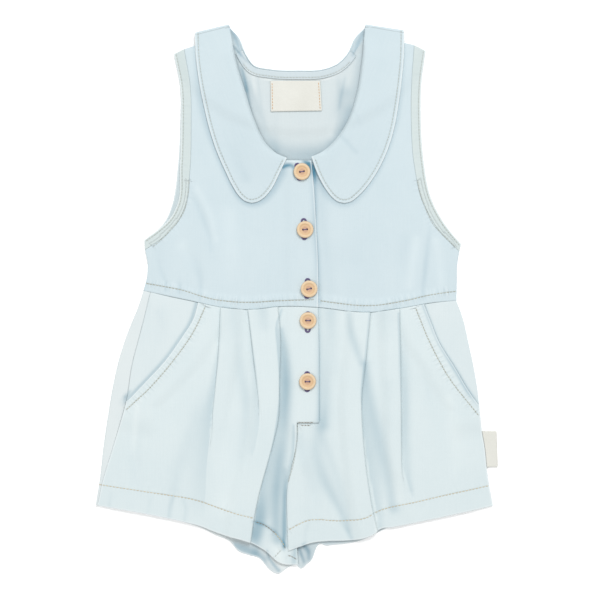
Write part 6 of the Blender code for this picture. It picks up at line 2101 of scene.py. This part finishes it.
# Floor, light and camera.
PIXEL = 0.9  # millimetres on the garment for each pixel of a picture 600 pixels wide
VIEW_CENTRE = (2.25, -1.35)
LENS, SENSOR = 135.0, 36.0
GARMENT_LEVEL = 4.0


def floor():
    work = bmesh.new()
    bmesh.ops.create_grid(work, x_segments=8, y_segments=8, size=6.0)
    made = new_object("floor", work)
    made.location.z = -0.0002
    surface, tree, shader = new_material("floor", (0.97, 0.97, 0.97), 0.9)
    place = put(tree, "TexCoord").outputs["Object"]
    grain = noise(tree, place, (3.0, 3.0, 3.0), 2.0)
    level = sums(tree, "MULTIPLY_ADD", grain, 0.004, 0.97)
    colour = put(tree, "CombineXYZ", {0: level, 1: level, 2: level}).outputs[0]
    tree.links.new(colour, shader.inputs["Base Color"])
    shader.inputs["Emission Color"].default_value = (1.0, 1.0, 1.0, 1.0)
    shader.inputs["Emission Strength"].default_value = 0.12
    made.data.materials.append(surface)
    made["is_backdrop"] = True


def area_light(name, place, size, power):
    data = bpy.data.lights.new(name, "AREA")
    data.size = size
    data.energy = power
    made = bpy.data.objects.new(name, data)
    made.location = place
    made.rotation_euler = (-Vector(place)).to_track_quat("-Z", "Y").to_euler()
    bpy.context.scene.collection.objects.link(made)


def light_and_camera():
    scene = bpy.context.scene
    scene.world = scene.world or bpy.data.worlds.new("studio")
    scene.world.use_nodes = True
    background = scene.world.node_tree.nodes["Background"]
    background.inputs["Color"].default_value = (1.0, 1.0, 1.0, 1.0)
    background.inputs["Strength"].default_value = WORLD
    area_light("key", KEY_PLACE, LIGHT_SIZE, KEY_POWER)
    area_light("fill", FILL_PLACE, LIGHT_SIZE, FILL_POWER)
    scene.view_settings.view_transform = "Standard"
    data = bpy.data.cameras.new("camera")
    data.lens, data.sensor_width = LENS, SENSOR
    data.clip_end = 50.0
    camera = bpy.data.objects.new("camera", data)
    distance = 600 * PIXEL * MM * LENS / SENSOR
    camera.location = (VIEW_CENTRE[0] * MM, VIEW_CENTRE[1] * MM, distance + GARMENT_LEVEL * MM)
    scene.collection.objects.link(camera)
    scene.camera = camera


WORLD = 0.55
KEY_PLACE = (0.5, 1.5, 2.4)
KEY_POWER = 48.0
FILL_PLACE = (-0.9, -0.6, 2.2)
FILL_POWER = 13.0
LIGHT_SIZE = 1.2


def corners(box):
    return [[float(value) for value in corner] for corner in box]


def main():
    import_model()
    cad_box = corners(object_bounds())
    materials = {
        "denim": washed_denim("washed_denim", (0.72, 0.785, 0.80), (0.60, 0.695, 0.73), 0.10),
        "inside": washed_denim("washed_denim_inside", (0.74, 0.79, 0.80), (0.64, 0.71, 0.735), 0.06),
        "label": label_tape("label_tape"),
    }
    rows = all_rows()
    pieces, facts = [], []
    for number, (name, points) in enumerate(middle_surfaces().items()):
        made, flat, held, area = cloth_piece(
            name, points, LOOKS[name], rows, materials, number
        )
        pieces.append(made)
        facts.append((made, flat, held, area, LOOKS[name].on))
    surface = Surface(pieces)

    tubes = {}
    for row in rows:
        tubes.setdefault(row.thread, []).extend(stitches_of(row, surface))
    for colour, made in tubes.items():
        tubes_object(f"stitches_{colour}", made, THREAD_SIDES, thread(f"thread_{colour}", THREADS[colour]))
    purple = thread("thread_purple", THREADS["purple"])
    tubes_object("buttonholes", buttonhole_tubes(surface), 10, purple)

    wood = turned_wood("turned_wood")
    threads = []
    for number, place in enumerate(BUTTONS, start=1):
        node = f"button_{number}"
        height = placket_top(place)
        wooden_button(f"wooden_{node}", node, place, height, wood)
        threads.append(button_thread(place, height, BUTTON_TILT[node]))
    tubes_object("button_threads", threads, 8, purple)

    floor()
    light_and_camera()
    sizes = {"cad": cad_box, "shown": corners(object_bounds())}


main()
